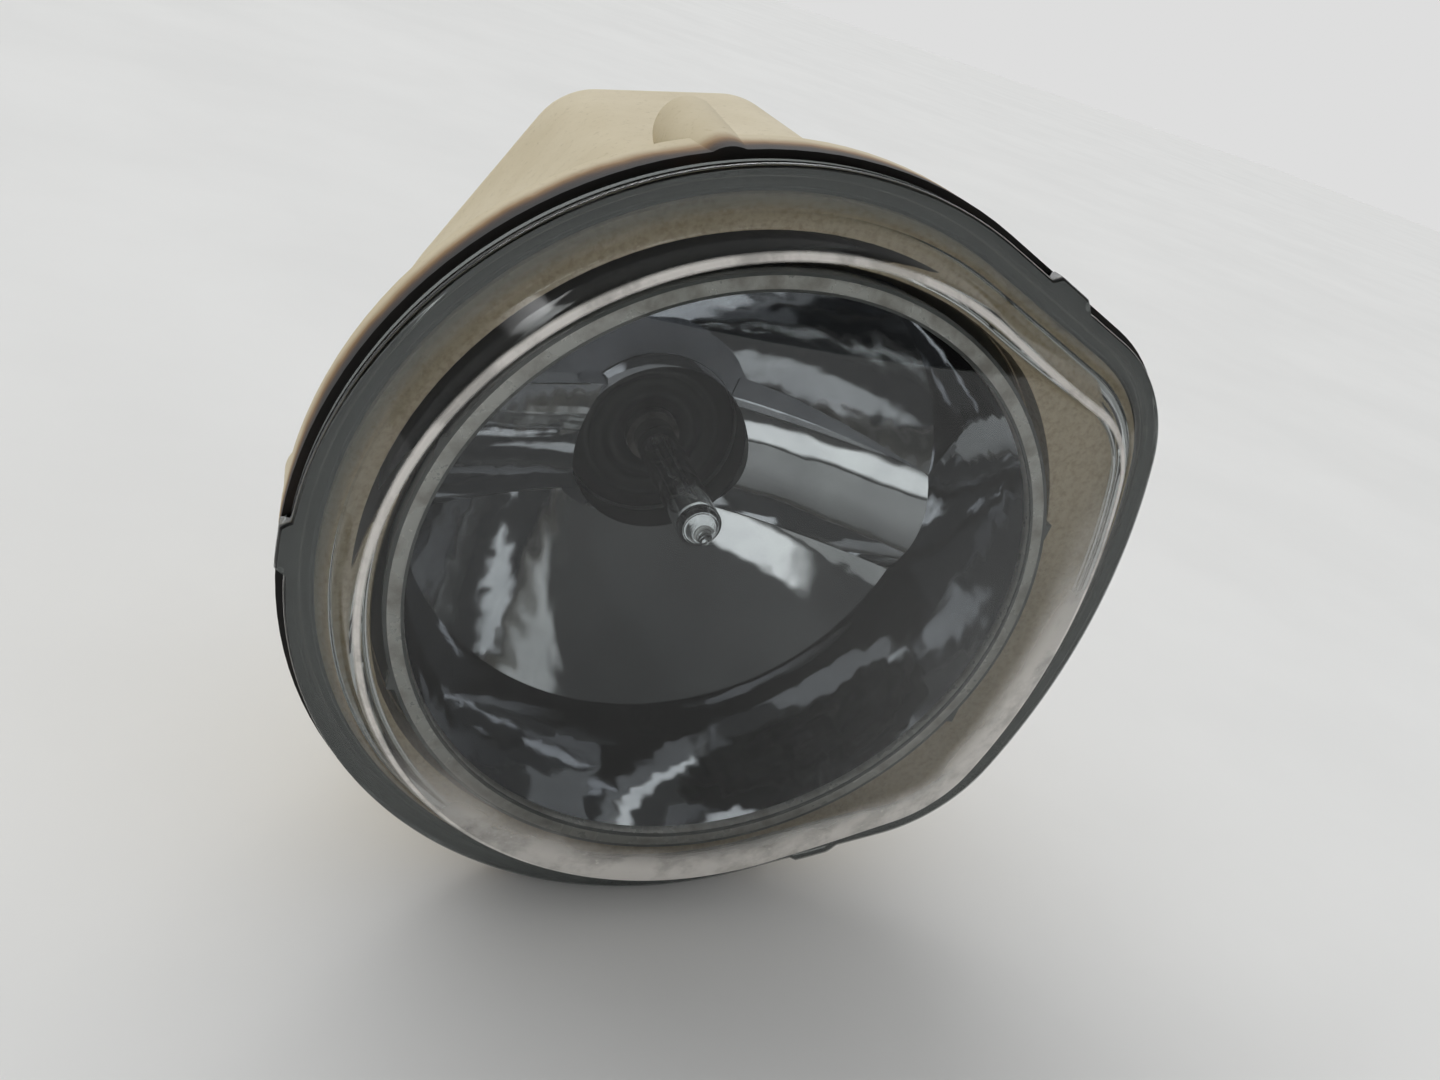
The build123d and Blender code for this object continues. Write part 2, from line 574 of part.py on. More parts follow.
def bulb_base():
    """Metal collar and seating flange."""
    collar = rod(COLLAR_R, SEAT_Z, SEAT_Z + COLLAR_LONG)
    flange = rod(BULB_FLANGE_R, SEAT_Z - BULB_FLANGE_THICK, SEAT_Z)
    flange -= Pos(0, BULB_FLANGE_R, SEAT_Z) * Box(NOTCH_WIDE, 2 * NOTCH_DEEP, 2 * NOTCH_DEEP)
    return collar + flange - rod(CAPSULE_R, SEAT_Z + CAPSULE_FOOT, SEAT_Z + COLLAR_LONG + EPS)


def bulb_insulator():
    """Insulating barrel behind the flange."""
    low, high = SEAT_Z - BULB_FLANGE_THICK - INSULATOR_LONG, SEAT_Z - BULB_FLANGE_THICK
    slot = Pos(0, 0, low) * Box(TAB_WIDE, TAB_THICK, 2 * TAB_ROOT)
    return rod(INSULATOR_R, low, high) - slot


def bulb_terminal():
    """Single spade terminal."""
    high = SEAT_Z - BULB_FLANGE_THICK - INSULATOR_LONG + TAB_ROOT
    blade = block(TAB_WIDE, TAB_THICK, high - TAB_ROOT - TAB_LONG, high)
    tip = blade.edges().filter_by(Axis.Y).group_by(Axis.Z)[0]
    return chamfer(tip, TAB_CHAMFER)


def coil_span():
    """Both ends of the filament, centred on the focus."""
    middle = VERTEX_Z + FOCAL
    return middle - COIL_LONG / 2, middle + COIL_LONG / 2


def bulb_filament():
    """Coiled filament along the axis."""
    low, _ = coil_span()
    spiral = Helix(pitch=COIL_PITCH, height=COIL_LONG, radius=COIL_R)
    section = Plane(origin=spiral @ 0, z_dir=spiral % 0) * Circle(COIL_WIRE)
    return Pos(0, 0, low) * sweep(section, path=spiral, is_frenet=True)


def bulb_leads():
    """Support wires from the collar to both ends of the filament."""
    low, high = coil_span()
    foot = SEAT_Z + CAPSULE_FOOT + CAPSULE_WALL
    near = wire_run(LEAD_R, (-COIL_R, 0, foot), (-COIL_R, 0, low - LEAD_JOG), (COIL_R, 0, low - LEAD_R))
    far = wire_run(LEAD_R, (FAR_LEAD_X, 0, foot), (FAR_LEAD_X, 0, high + LEAD_JOG - COIL_R / 2),
                   (COIL_R, 0, high + LEAD_R))
    return [near, far]


def bulb_clip():
    """Sprung wire bail hinged below the bulb."""
    clip = None
    for side in (-1, 1):
        loop = cross_rod(LOOP_R, side * (LOOP_X - LOOP_LONG / 2), side * (LOOP_X + LOOP_LONG / 2),
                         PIN_Y, PIN_Z)
        clip = loop if clip is None else clip + loop
    low_y = PIN_Y + 1
    clip += wire_run(WIRE_R, (-LOOP_X, low_y, CLIP_Z), (-LOOP_X, CLIP_TOP_Y, CLIP_Z),
                     (LOOP_X, CLIP_TOP_Y, CLIP_Z), (LOOP_X, low_y, CLIP_Z))
    return clip - cross_rod(PIN_R + PIN_FIT, -LUG_X, LUG_X, PIN_Y, PIN_Z)


def clip_pin():
    """Hinge pin of the clip, pressed into the two lugs."""
    half = LUG_X + LUG_THICK / 2
    return cross_rod(PIN_R, -half, half, PIN_Y, PIN_Z)


def adjuster_screw():
    """Aiming screw through the back wall."""
    screw = rod(SCREW_R, SCREW_END, SCREW_TIP, (0, SCREW_Y))
    return chamfer(screw.edges().group_by(Axis.Z)[-1], SCREW_CHAMFER)


def adjuster_bush():
    """Flanged bush in the back wall."""
    bush = rod(BUSH_FLANGE_R, BODY_BACK - BUSH_FLANGE, BODY_BACK, (0, SCREW_Y))
    bush += rod(BUSH_R, BODY_BACK, BODY_BACK + BODY_WALL + BUSH_PROUD, (0, SCREW_Y))
    return bush - rod(SCREW_R + SCREW_FIT, SCREW_END, SCREW_TIP, (0, SCREW_Y))


def adjuster_knob():
    """Fluted hand knob fixed on the screw."""
    high = BODY_BACK - BUSH_FLANGE - KNOB_GAP
    knob = rod(KNOB_R, high - KNOB_LONG, high, (0, SCREW_Y))
    for index in range(KNOB_FLUTES):
        flute = polar(KNOB_R + FLUTE_R / 3, 360 * index / KNOB_FLUTES)
        knob -= rod(FLUTE_R, high - KNOB_LONG - 1, high + 1, (flute.X, flute.Y + SCREW_Y))
    return knob - rod(SCREW_R, SCREW_END, high + EPS, (0, SCREW_Y))


def adjuster_ring():
    """Retaining ring that keeps the screw in its bush."""
    low = BODY_BACK + BODY_WALL + BUSH_PROUD + RING_GAP
    ring = rod(RING_R, low, low + RING_THICK, (0, SCREW_Y))
    return ring - rod(SCREW_R, low - 1, low + RING_THICK + 1, (0, SCREW_Y))


def adjuster_nut():
    """Ball nut carried in the reflector's socket."""
    nut = Pos(0, SCREW_Y, TILT_Z) * Sphere(NUT_R)
    return nut - rod(SCREW_R + SCREW_FIT, TILT_Z - 2 * NUT_R, TILT_Z + 2 * NUT_R, (0, SCREW_Y))


def cap_inner_r():
    """Inside radius of the cap's skirt."""
    return hatch_collar_r() + GASKET_FIT + GASKET_THICK


def rear_cap():
    """Push-on cap with grip ribs."""
    front = BODY_BACK - CAP_GAP
    outer_r = cap_inner_r() + CAP_WALL
    shell = rod(outer_r, CAP_BACK, front)
    shell = fillet(shell.edges().group_by(Axis.Z)[0], CAP_WALL)
    for index in range(CAP_GRIPS):
        rib = block(2 * GRIP_OUT, GRIP_WIDE, CAP_BACK + CAP_WALL + 1, BODY_BACK - COLLAR_DEEP)
        shell += Rot(0, 0, 360 * (index + 0.5) / CAP_GRIPS) * Pos(outer_r, 0, 0) * rib
    shell -= rod(cap_inner_r(), BODY_BACK - COLLAR_DEEP, front + EPS)
    return shell - rod(HATCH_R, CAP_BACK + CAP_WALL, front)


def cap_gasket():
    """Rubber ring between the cap and the collar."""
    low = BODY_BACK - COLLAR_DEEP + 1.0
    ring = rod(cap_inner_r(), low, low + GASKET_LONG)
    return ring - rod(hatch_collar_r() + GASKET_FIT, low - 1, low + GASKET_LONG + 1)


def vent_branch(radius, start, end):
    """Bar lying outwards along the vent direction."""
    bar = Pos((start + end) / 2, 0, BRANCH_Z) * Rot(0, 90, 0) * Cylinder(radius, end - start)
    return Rot(0, 0, VENT_DEG) * bar


def vent_elbow():
    """Rubber elbow on the breather spigot."""
    vent = polar(VENT_REACH, VENT_DEG)
    at = (vent.X, vent.Y)
    elbow = rod(SPIGOT_R + ELBOW_WALL, ELBOW_BACK, BODY_BACK - 1, at)
    elbow = fillet(elbow.edges().group_by(Axis.Z)[0], ELBOW_FILLET)
    elbow += vent_branch(BRANCH_R, VENT_REACH, VENT_TIP)
    elbow -= rod(SPIGOT_R, BODY_BACK - SPIGOT_LONG, BODY_BACK, at)
    elbow -= rod(ELBOW_BORE, BRANCH_Z, BODY_BACK - 1, at)
    return elbow - vent_branch(BRANCH_BORE, VENT_REACH - ELBOW_BORE - 0.5, VENT_TIP + 1)


def vent_filter():
    """Porous plug in the open end of the elbow."""
    tip = VENT_TIP - FILTER_IN
    return vent_branch(BRANCH_BORE, tip - FILTER_LONG, tip)


def connector_socket():
    """Two-way plug socket on the back wall."""
    low = BODY_BACK - PLUG_LONG
    shell = block(PLUG_WIDE, PLUG_HIGH, low, BODY_BACK, (0, PLUG_Y))
    shell = fillet(shell.edges().filter_by(Axis.Z), PLUG_WALL)
    shell -= block(PLUG_WIDE - 2 * PLUG_WALL, PLUG_HIGH - 2 * PLUG_WALL, low - 1,
                   BODY_BACK - PLUG_FLOOR, (0, PLUG_Y))
    latch_y = PLUG_Y - (PLUG_HIGH + LATCH_THICK) / 2 + EPS
    shell += block(LATCH_WIDE, LATCH_THICK, low + LATCH_BACK, BODY_BACK, (0, latch_y))
    shell += block(NECK_WIDE, NECK_HIGH, BODY_BACK, BODY_BACK + NECK_LONG, (0, PLUG_Y))
    for side in (-1, 1):
        shell -= block(BLADE_THICK, BLADE_WIDE, BLADE_BACK, BLADE_FRONT, (side * BLADE_X, PLUG_Y))
    return shell


def connector_terminals():
    """Two blades through the socket."""
    return [block(BLADE_THICK, BLADE_WIDE, BLADE_BACK, BLADE_FRONT, (side * BLADE_X, PLUG_Y))
            for side in (-1, 1)]


write("housing", housing())
write("lens", lens())
write("lens_sealant", sealant())
write("mounting_inserts", *mounting_inserts())
write("tower_plugs", *tower_plugs())
write("reflector", reflector())
write("pivot_studs", *pivot_studs())
write("pivot_sockets", *pivot_sockets())
write("bulb_carrier", bulb_carrier())
write("bulb_glass", bulb_glass())
write("bulb_base", bulb_base())
write("bulb_insulator", bulb_insulator())
write("bulb_terminal", bulb_terminal())
write("bulb_filament", bulb_filament())
write("bulb_leads", *bulb_leads())
write("bulb_clip", bulb_clip())
write("clip_pin", clip_pin())
write("adjuster_screw", adjuster_screw())
write("adjuster_bush", adjuster_bush())
write("adjuster_knob", adjuster_knob())
write("adjuster_ring", adjuster_ring())
write("adjuster_nut", adjuster_nut())
write("rear_cap", rear_cap())
write("cap_gasket", cap_gasket())
write("vent_elbow", vent_elbow())
write("vent_filter", vent_filter())
write("connector_socket", connector_socket())
write("connector_terminals", *connector_terminals())
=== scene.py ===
import math

import bpy
import numpy as np
from mathutils import Matrix, Vector


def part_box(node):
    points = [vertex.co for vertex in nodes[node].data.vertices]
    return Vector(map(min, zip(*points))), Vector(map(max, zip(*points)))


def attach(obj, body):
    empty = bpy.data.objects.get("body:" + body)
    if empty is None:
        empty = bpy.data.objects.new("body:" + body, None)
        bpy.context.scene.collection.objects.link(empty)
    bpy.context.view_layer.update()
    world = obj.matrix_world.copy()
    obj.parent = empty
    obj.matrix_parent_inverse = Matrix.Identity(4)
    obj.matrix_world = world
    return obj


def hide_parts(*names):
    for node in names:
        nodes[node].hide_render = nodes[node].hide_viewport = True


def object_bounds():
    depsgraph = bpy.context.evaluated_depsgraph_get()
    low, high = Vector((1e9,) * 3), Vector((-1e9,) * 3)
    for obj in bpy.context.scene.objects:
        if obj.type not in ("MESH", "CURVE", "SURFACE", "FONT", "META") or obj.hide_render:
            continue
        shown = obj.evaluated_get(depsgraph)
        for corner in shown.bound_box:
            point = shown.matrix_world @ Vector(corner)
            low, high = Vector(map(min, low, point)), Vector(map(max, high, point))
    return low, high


# %% [markdown]
# # A round fog light
# The lamp comes in from the CAD pack, and this lesson dresses it: a pressed glass
# lens, a vacuum-coated mirror bowl, a quartz bulb and a moulded cream housing.
# Surfaces are numpy grids of (row, column) points, and materials are node graphs.
# Sizes below are in millimetres, in lamp coordinates: x to the right, z up and
# "forward" along the optical axis from the mirror lip.  `place` turns them into
# the shared frame.

# %% load the CAD frame
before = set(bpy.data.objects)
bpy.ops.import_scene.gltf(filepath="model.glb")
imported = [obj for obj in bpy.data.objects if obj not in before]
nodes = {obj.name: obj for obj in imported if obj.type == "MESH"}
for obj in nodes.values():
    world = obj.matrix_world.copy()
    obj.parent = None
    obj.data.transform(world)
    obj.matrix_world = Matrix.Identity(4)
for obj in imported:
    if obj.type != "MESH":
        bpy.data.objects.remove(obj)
cad_low, cad_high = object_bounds()
lip_low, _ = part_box("reflector")
MM = 0.001
LIP_Y = lip_low.y          # the lip is the part of the mirror bowl nearest the lens
print("CAD box", [round(v, 4) for v in (*cad_low, *cad_high)], "lip plane at y =", round(LIP_Y, 4))


def place(x, z, forward):
    """Points in the shared frame (metres) from lamp coordinates (millimetres)."""
    x, z, forward = np.broadcast_arrays(x, z, forward)
    return np.stack([x * MM, LIP_Y - forward * MM, z * MM], axis=-1).astype(float)


# %% [markdown]
# ## Helpers for grids
# `skin` joins a grid of points into quads.  A row that shrinks to one point becomes a
# fan of triangles, and the grid can wrap round in either direction.

# %% grid helpers
def skin(name, points, wrap_rows=False, wrap_cols=True, poles=(False, False)):
    """Mesh object from a (rows, columns, 3) array.

    Quad (i, j) joins rows i and i+1 with columns j and j+1; at a pole every column
    of that row is the same vertex, so its quads shrink to triangles.
    """
    rows, cols = points.shape[:2]
    index = np.arange(rows * cols).reshape(rows, cols)
    if poles[0]:
        index[0, :] = index[0, 0]
    if poles[1]:
        index[-1, :] = index[-1, 0]
    if wrap_rows:
        index = np.concatenate([index, index[:1]], axis=0)
    if wrap_cols:
        index = np.concatenate([index, index[:, :1]], axis=1)
    quads = np.stack([index[:-1, :-1], index[1:, :-1], index[1:, 1:], index[:-1, 1:]], axis=-1)
    used, compact = np.unique(quads, return_inverse=True)
    quads = compact.reshape(-1, 4)
    vertices = points.reshape(-1, 3)[used]
    first = quads[:, 0] == quads[:, 3]
    last = quads[:, 1] == quads[:, 2]
    faces = quads[~(first | last)].tolist()
    faces += quads[first][:, [0, 1, 2]].tolist() + quads[last][:, [0, 1, 3]].tolist()
    mesh = bpy.data.meshes.new(name)
    mesh.from_pydata(vertices.tolist(), [], faces)
    mesh.shade_smooth()
    obj = bpy.data.objects.new(name, mesh)
    bpy.context.scene.collection.objects.link(obj)
    return obj


def outward(obj):
    """Turn the faces of a closed mesh outward, by the sign of its volume."""
    mesh = obj.data
    mesh.calc_loop_triangles()
    corners = np.empty(len(mesh.vertices) * 3)
    mesh.vertices.foreach_get("co", corners)
    triangles = np.empty(len(mesh.loop_triangles) * 3, dtype=np.int32)
    mesh.loop_triangles.foreach_get("vertices", triangles)
    a, b, c = corners.reshape(-1, 3)[triangles.reshape(-1, 3)].transpose(1, 0, 2)
    volume = float(np.einsum("ij,ij->i", a, np.cross(b, c)).sum()) / 6
    if volume < 0:
        mesh.flip_normals()
    print(f"{obj.name}: {len(mesh.polygons)} faces, volume {abs(volume) * 1e6:.2f} cm3")
    return obj


def soften(profile, radii, steps=6):
    """Round the corners of a profile.

    profile is (corners, ..., 2).  Each inner corner with a radius becomes a quadratic
    Bezier that leaves the corner's two sides at that distance from the corner.
    """
    rows = [profile[0]]
    for corner in range(1, len(profile) - 1):
        here, radius = profile[corner], radii[corner]
        if radius == 0:
            rows.append(here)
            continue
        ends = []
        for other in (profile[corner - 1], profile[corner + 1]):
            side = other - here
            length = np.linalg.norm(side, axis=-1, keepdims=True)
            ends.append(here + side / length * np.minimum(radius, 0.48 * length))
        for t in np.linspace(0, 1, steps):
            rows.append((1 - t) ** 2 * ends[0] + 2 * t * (1 - t) * here + t**2 * ends[1])
    rows.append(profile[-1])
    return np.stack(rows)


def turned(name, profile, columns=128, poles=(False, False), wrap_rows=False):
    """Surface of revolution round the optical axis from (radius, forward) pairs."""
    turn = np.linspace(0, 2 * np.pi, columns, endpoint=False)
    radius, forward = np.asarray(profile, float).T
    points = place(radius[:, None] * np.cos(turn), radius[:, None] * np.sin(turn), forward[:, None])
    return skin(name, points, wrap_rows=wrap_rows, poles=poles)


# %% [markdown]
# ## The lens outline
# The outline is a round of radius 59.3, two soft corners of radius 20 and a bulged
# side.  Every sample keeps its arc centre, radius and outward normal, so the outline
# grown by any offset is centre + (radius + offset) * normal.

# %% lens outline
MAIN_R, CORNER_R, CORNER_REACH, CORNER_DEG, SIDE_X = 59.3, 20.0, 66.6, 33.5, 62.7
FOOT_BULGE = 2.0       # corners and side reach this much further at the foot of the lens


def side_arc(bulge):
    """Corner centre, side radius, side centre x and the angle where side meets corner.

    The side's arc touches the corner's circle, so the distance between their centres is
    the difference of their radii.
    """
    reach, side_x = CORNER_REACH + bulge - CORNER_R, SIDE_X + bulge
    corner = reach * np.array([math.cos(math.radians(CORNER_DEG)), math.sin(math.radians(CORNER_DEG))])
    inset = corner[0] - side_x
    side_r = (CORNER_R**2 - inset**2 - corner[1] ** 2) / (2 * (inset + CORNER_R))
    return corner, side_r, side_x - side_r, math.atan2(corner[1], corner[0] - (side_x - side_r))


def outline_samples(bulge):
    """Outline points and outward normals, from the bulged side up and round, then mirrored."""
    corner, side_r, side_mid, side_turn = side_arc(bulge)
    lean = math.radians(CORNER_DEG) + math.acos((MAIN_R - CORNER_R) / math.hypot(*corner))

    def span(centre_a, radius_a, angle_a, centre_b, radius_b, angle_b, count):
        t = np.linspace(0, 1, count, endpoint=False)[:, None]
        centre = (1 - t) * np.array(centre_a) + t * np.array(centre_b)
        radius = (1 - t) * radius_a + t * radius_b
        angle = (1 - t) * angle_a + t * angle_b
        normal = np.hstack([np.cos(angle), np.sin(angle)])
        return np.hstack([centre + radius * normal, normal])

    side, middle = (side_mid, 0.0), (0.0, 0.0)
    half = np.vstack([
        span(side, side_r, 0, side, side_r, side_turn, 40),
        span(corner, CORNER_R, side_turn, corner, CORNER_R, lean, 40),
        span(corner, CORNER_R, lean, middle, MAIN_R, lean, 26),
        span(middle, MAIN_R, lean, middle, MAIN_R, math.pi, 120),
    ])
    left = np.array([[-MAIN_R, 0, -1, 0]])
    return np.vstack([half, left, half[1:][::-1] * np.array([1, -1, 1, -1])])


EDGE, NORMAL = np.split(outline_samples(0.0), 2, axis=1)
PUSH = outline_samples(1.0)[:, :2] - EDGE
SAMPLES = len(EDGE)


def ring(offset, bulge=0.0):
    """Outline points grown along the normals by offset, with the bulged side pushed out."""
    offset, bulge = np.asarray(offset)[..., None], np.asarray(bulge)[..., None]
    return EDGE + offset * NORMAL + bulge * PUSH


print("outline samples", SAMPLES, "width", round(float(np.ptp(ring(0)[:, 0])), 1))


# %% [markdown]
# ## The glass lens
# The section starts at the middle of the dome, runs out over the rounded front edge,
# down the sloping wall and a soft foot to the flange, under it to the sealing tongue,
# and back inside.  Heights on the dome are those of a large ball.

# %% lens
EDGE_F, DOME_RISE, GLASS, WALL_SLOPE = 6.2, 5.6, 3.0, 0.52
FLANGE_FRONT, FLANGE_BACK, FLANGE_OUT = -1.0, -4.5, 9.5
TONGUE_IN, TONGUE_OUT, TONGUE_DEEP = 5.7, 7.3, 2.0
KEY_DEGS, KEY_HALF, KEY_OUT = (58.0, 180.0, -58.0), 4.0, 1.3
BALL_R = (MAIN_R**2 + DOME_RISE**2) / (2 * DOME_RISE)
TOP_F = EDGE_F + DOME_RISE


def dome(radius, thickness=0.0):
    """Forward height of the dome at a radius: top - R + sqrt(R^2 - r^2)."""
    return TOP_F - BALL_R + np.sqrt((BALL_R - thickness) ** 2 - radius**2)


def wall_top(thickness, shift):
    """Where the sloping wall meets the dome, found by repeated substitution."""
    offset = np.zeros(SAMPLES)
    for _ in range(6):
        height = dome(np.linalg.norm(ring(offset), axis=1), thickness)
        offset = WALL_SLOPE * (EDGE_F - height) - shift
    return offset, height


def flange_edge():
    """Offset of the flange edge: constant, with three keys of smooth flanks."""
    points = ring(FLANGE_OUT, FOOT_BULGE)
    out = np.full(SAMPLES, FLANGE_OUT)
    for degrees in KEY_DEGS:
        way = np.array([math.cos(math.radians(degrees)), math.sin(math.radians(degrees))])
        along = points @ way
        across = np.abs(points @ np.array([-way[1], way[0]]))
        rise = np.clip((KEY_HALF + 0.5 - across) / 1.0, 0, 1) * (along > 0)
        out += KEY_OUT * rise * rise * (3 - 2 * rise)
    return out


def section(pairs):
    """(corners, samples, 2) array from (offset, forward) pairs."""
    return np.stack([np.stack(np.broadcast_arrays(offset, forward, np.zeros(SAMPLES))[:2], axis=-1)
                     for offset, forward in pairs])


def foot_bulge(forward):
    """Bulge grows evenly down the wall and is full from the flange on."""
    return FOOT_BULGE * np.clip((EDGE_F - forward) / (EDGE_F - FLANGE_FRONT), 0, 1)


EDGE_BLEND, INNER_BLEND = 2.4, 1.6     # the front edge's round starts this far inside it
EDGE_SOFT, FOOT_SOFT = 2.2, 2.6        # how far the rounds reach at the front edge and the foot


PAST_EDGE = "past_edge"                # the film's own layer that its dust and painted-light masks read
FILM_SHY = 0.5         # the film of dust and painted reflection stops this far from the edge of the flange


def film_piece(width=11.0, lift=0.09, thin=0.04):
    """Thin film over the outer part of the dome, the wall and the flange: dust, with a painted highlight on
    the front edge and a painted reflection on the flange.

    Its outer sheet stands off the glass by lift and its inner sheet lies under it by thin.
    """
    out_o, out_f = wall_top(0.0, 0.0)
    edge = flange_edge() - FILM_SHY
    corners = section([(out_o - EDGE_BLEND, dome(np.linalg.norm(ring(out_o - EDGE_BLEND), axis=1))),
                       (out_o, out_f), (WALL_SLOPE * (EDGE_F - FLANGE_FRONT), FLANGE_FRONT),
                       (edge, FLANGE_FRONT)])
    rows = soften(corners, [0, EDGE_SOFT, FOOT_SOFT, 0], steps=8)
    inner = (out_o - EDGE_BLEND) - width * np.linspace(1, 0, 9)[:-1, None]
    height = dome(np.linalg.norm(ring(inner), axis=2))
    rows = np.concatenate([np.stack([inner, height], axis=-1), rows])
    sheets = []
    for rise in (lift, lift - thin):
        points = ring(rows[..., 0] + rise / 2, foot_bulge(rows[..., 1]))
        sheets.append(place(points[..., 0], points[..., 1], rows[..., 1] + rise))
    film = outward(skin("lens_film", np.concatenate([sheets[0], sheets[1][::-1]]), wrap_rows=True))
    past = rows[..., 0] - out_o          # distance outside the edge of the dome, along the section
    layer = film.data.attributes.new(PAST_EDGE, "FLOAT", "POINT")
    layer.data.foreach_set("value", (np.concatenate([past, past[::-1]]) * MM).ravel())
    return film


def lens_piece():
    """Closed glass shell: dome outside, section round the edge, dome inside."""
    wall = GLASS * math.hypot(1, WALL_SLOPE)
    out_o, out_f = wall_top(0.0, 0.0)
    in_o, in_f = wall_top(GLASS, wall)
    foot = WALL_SLOPE * (EDGE_F - FLANGE_FRONT)
    edge = flange_edge()
    start_out = ring(out_o - EDGE_BLEND)
    start_in = ring(in_o - INNER_BLEND)
    front = soften(section([
        (out_o - EDGE_BLEND, dome(np.linalg.norm(start_out, axis=1))), (out_o, out_f),
        (foot, FLANGE_FRONT), (edge, FLANGE_FRONT), (edge, FLANGE_BACK),
        (TONGUE_OUT, FLANGE_BACK), (TONGUE_OUT, FLANGE_BACK - TONGUE_DEEP),
        (TONGUE_IN, FLANGE_BACK - TONGUE_DEEP), (TONGUE_IN, FLANGE_BACK),
        (WALL_SLOPE * (EDGE_F - FLANGE_BACK) - wall, FLANGE_BACK),
        (in_o, in_f), (in_o - INNER_BLEND, dome(np.linalg.norm(start_in, axis=1), GLASS)),
    ]), [0, EDGE_SOFT, FOOT_SOFT, 1.1, 0.7, 0.3, 0.4, 0.4, 0.3, 0.6, 1.5, 0], steps=8)
    rings = ring(front[..., 0], foot_bulge(front[..., 1]))
    body = place(rings[..., 0], rings[..., 1], front[..., 1])
    share = np.linspace(0, 1, 26)[:-1, None, None]
    cap_out = start_out[None] * share
    cap_in = start_in[None] * share[::-1]
    outer = place(cap_out[..., 0], cap_out[..., 1], dome(np.linalg.norm(cap_out, axis=2)))
    inner = place(cap_in[..., 0], cap_in[..., 1], dome(np.linalg.norm(cap_in, axis=2), GLASS))
    return outward(skin("lens_glass", np.concatenate([outer, body, inner]), poles=(True, True)))


lens_glass = lens_piece()
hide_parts("lens")
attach(lens_glass, "lamp_body")
lens_film = film_piece()
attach(lens_film, "lamp_body")


# %% [markdown]
# ## The mirror bowl
# A thin bright coating lies on the CAD bowl.  The dish is the paraboloid
# forward = vertex + r^2 / 4f; two bars cross it, so it is laid as an upper and a
# lower lobe whose borders follow the bars, then the bars, the skirt and the neck.

# %% mirror
VERTEX_F, FOCAL = -62.0, 25.0
NECK_R, DISH_R, BOWL_R, LIP_R = 18.0, 51.4, 52.0, 55.0
BAR_HALF, BAR_IN_F, BAR_OUT_F, BAR_CROWN = 11.5, -52.5, -35.0, 2.3
BAR_SAG = 1.5          # the bar's front dips this much half way out
NECK_BACK, NECK_RISE = -59.2, 6.3      # back of the neck, and its front over the dish
SKIRT_FRONT = -0.6
COAT = 0.06            # the coating stands this far off the bowl


def dish(radius):
    """Paraboloid height at a radius."""
    return VERTEX_F + radius**2 / (4 * FOCAL)


def lobe(sign, rows=70, cols=150):
    """Dish above (+1) or below (-1) the bars: each row is an arc between the bars."""
    radius = np.linspace(NECK_R, DISH_R, rows)[:, None]
    start = np.arcsin(BAR_HALF / radius)
    angle = start + (np.pi - 2 * start) * np.linspace(0, 1, cols)[None]
    return place(radius * np.cos(angle), sign * radius * np.sin(angle), dish(radius) + COAT)


def bar_height(x, z):
    """Front of a bar: a shallow arc along x, crowned across z."""
    share = (np.abs(x) - NECK_R) / (DISH_R - NECK_R)
    sag = BAR_SAG * 4 * share * (1 - share)
    crown = BAR_CROWN * (1 - (z / BAR_HALF) ** 2)
    return BAR_IN_F + (BAR_OUT_F - BAR_IN_F) * share - sag + crown + COAT


def bar_front(side, rows=40, cols=24):
    """Front face of a bar, ending on the neck circle and on the skirt."""
    z = np.linspace(-BAR_HALF, BAR_HALF, cols)[None]
    inner, outer = np.sqrt(NECK_R**2 - z**2), np.sqrt(DISH_R**2 - z**2)
    x = side * (inner + (outer - inner) * np.linspace(0, 1, rows)[:, None])
    return place(x, z, bar_height(x, z))


def bar_wall(side, level, rows=40):
    """Step between the bar and the dish, at the bar's top or bottom edge."""
    z = level * BAR_HALF
    x = side * np.linspace(math.sqrt(NECK_R**2 - z**2), math.sqrt(DISH_R**2 - z**2), rows)[:, None]
    t = np.linspace(0, 1, 4)[None]
    low = dish(np.hypot(x, z)) + COAT
    return place(x, z + level * COAT, low + (np.maximum(bar_height(x, z), low) - low) * t)


def band(low, high, low_r, high_r, rows=10, cols=240):
    """Straight-sided round band between two heights."""
    t = np.linspace(0, 1, rows)[:, None]
    radius = low_r + (high_r - low_r) * t - COAT
    angle = np.linspace(0, 2 * np.pi, cols, endpoint=False)[None]
    return place(radius * np.cos(angle), radius * np.sin(angle), low + (high - low) * t + 0 * angle)


mirror_parts = {
    "mirror_upper_lobe": skin("mirror_upper_lobe", lobe(1), wrap_cols=False),
    "mirror_lower_lobe": skin("mirror_lower_lobe", lobe(-1), wrap_cols=False),
    "mirror_skirt": skin("mirror_skirt", band(dish(DISH_R), SKIRT_FRONT, DISH_R, BOWL_R)),
    "mirror_neck": skin("mirror_neck", band(NECK_BACK, dish(NECK_R) + NECK_RISE, NECK_R, NECK_R)),
}
for side, hand in ((-1, "left"), (1, "right")):
    mirror_parts[f"mirror_bar_{hand}"] = skin(f"mirror_bar_{hand}", bar_front(side), wrap_cols=False)
    for level, edge in ((-1, "lower"), (1, "upper")):
        name = f"mirror_step_{hand}_{edge}"
        mirror_parts[name] = skin(name, bar_wall(side, level), wrap_cols=False)


def lip_bead():
    """Rounded satin rim of the bowl."""
    corners = np.array([(BOWL_R - 0.1, -2.0), (BOWL_R - 0.1, 0.05), (LIP_R - 0.05, 0.05),
                        (LIP_R - 0.05, -2.1), (BOWL_R - 0.1, -2.1)])
    profile = soften(corners, [0, 0.9, 0.9, 0.3, 0], steps=6)
    return outward(turned("lip_bead", profile[:-1], columns=240, wrap_rows=True))


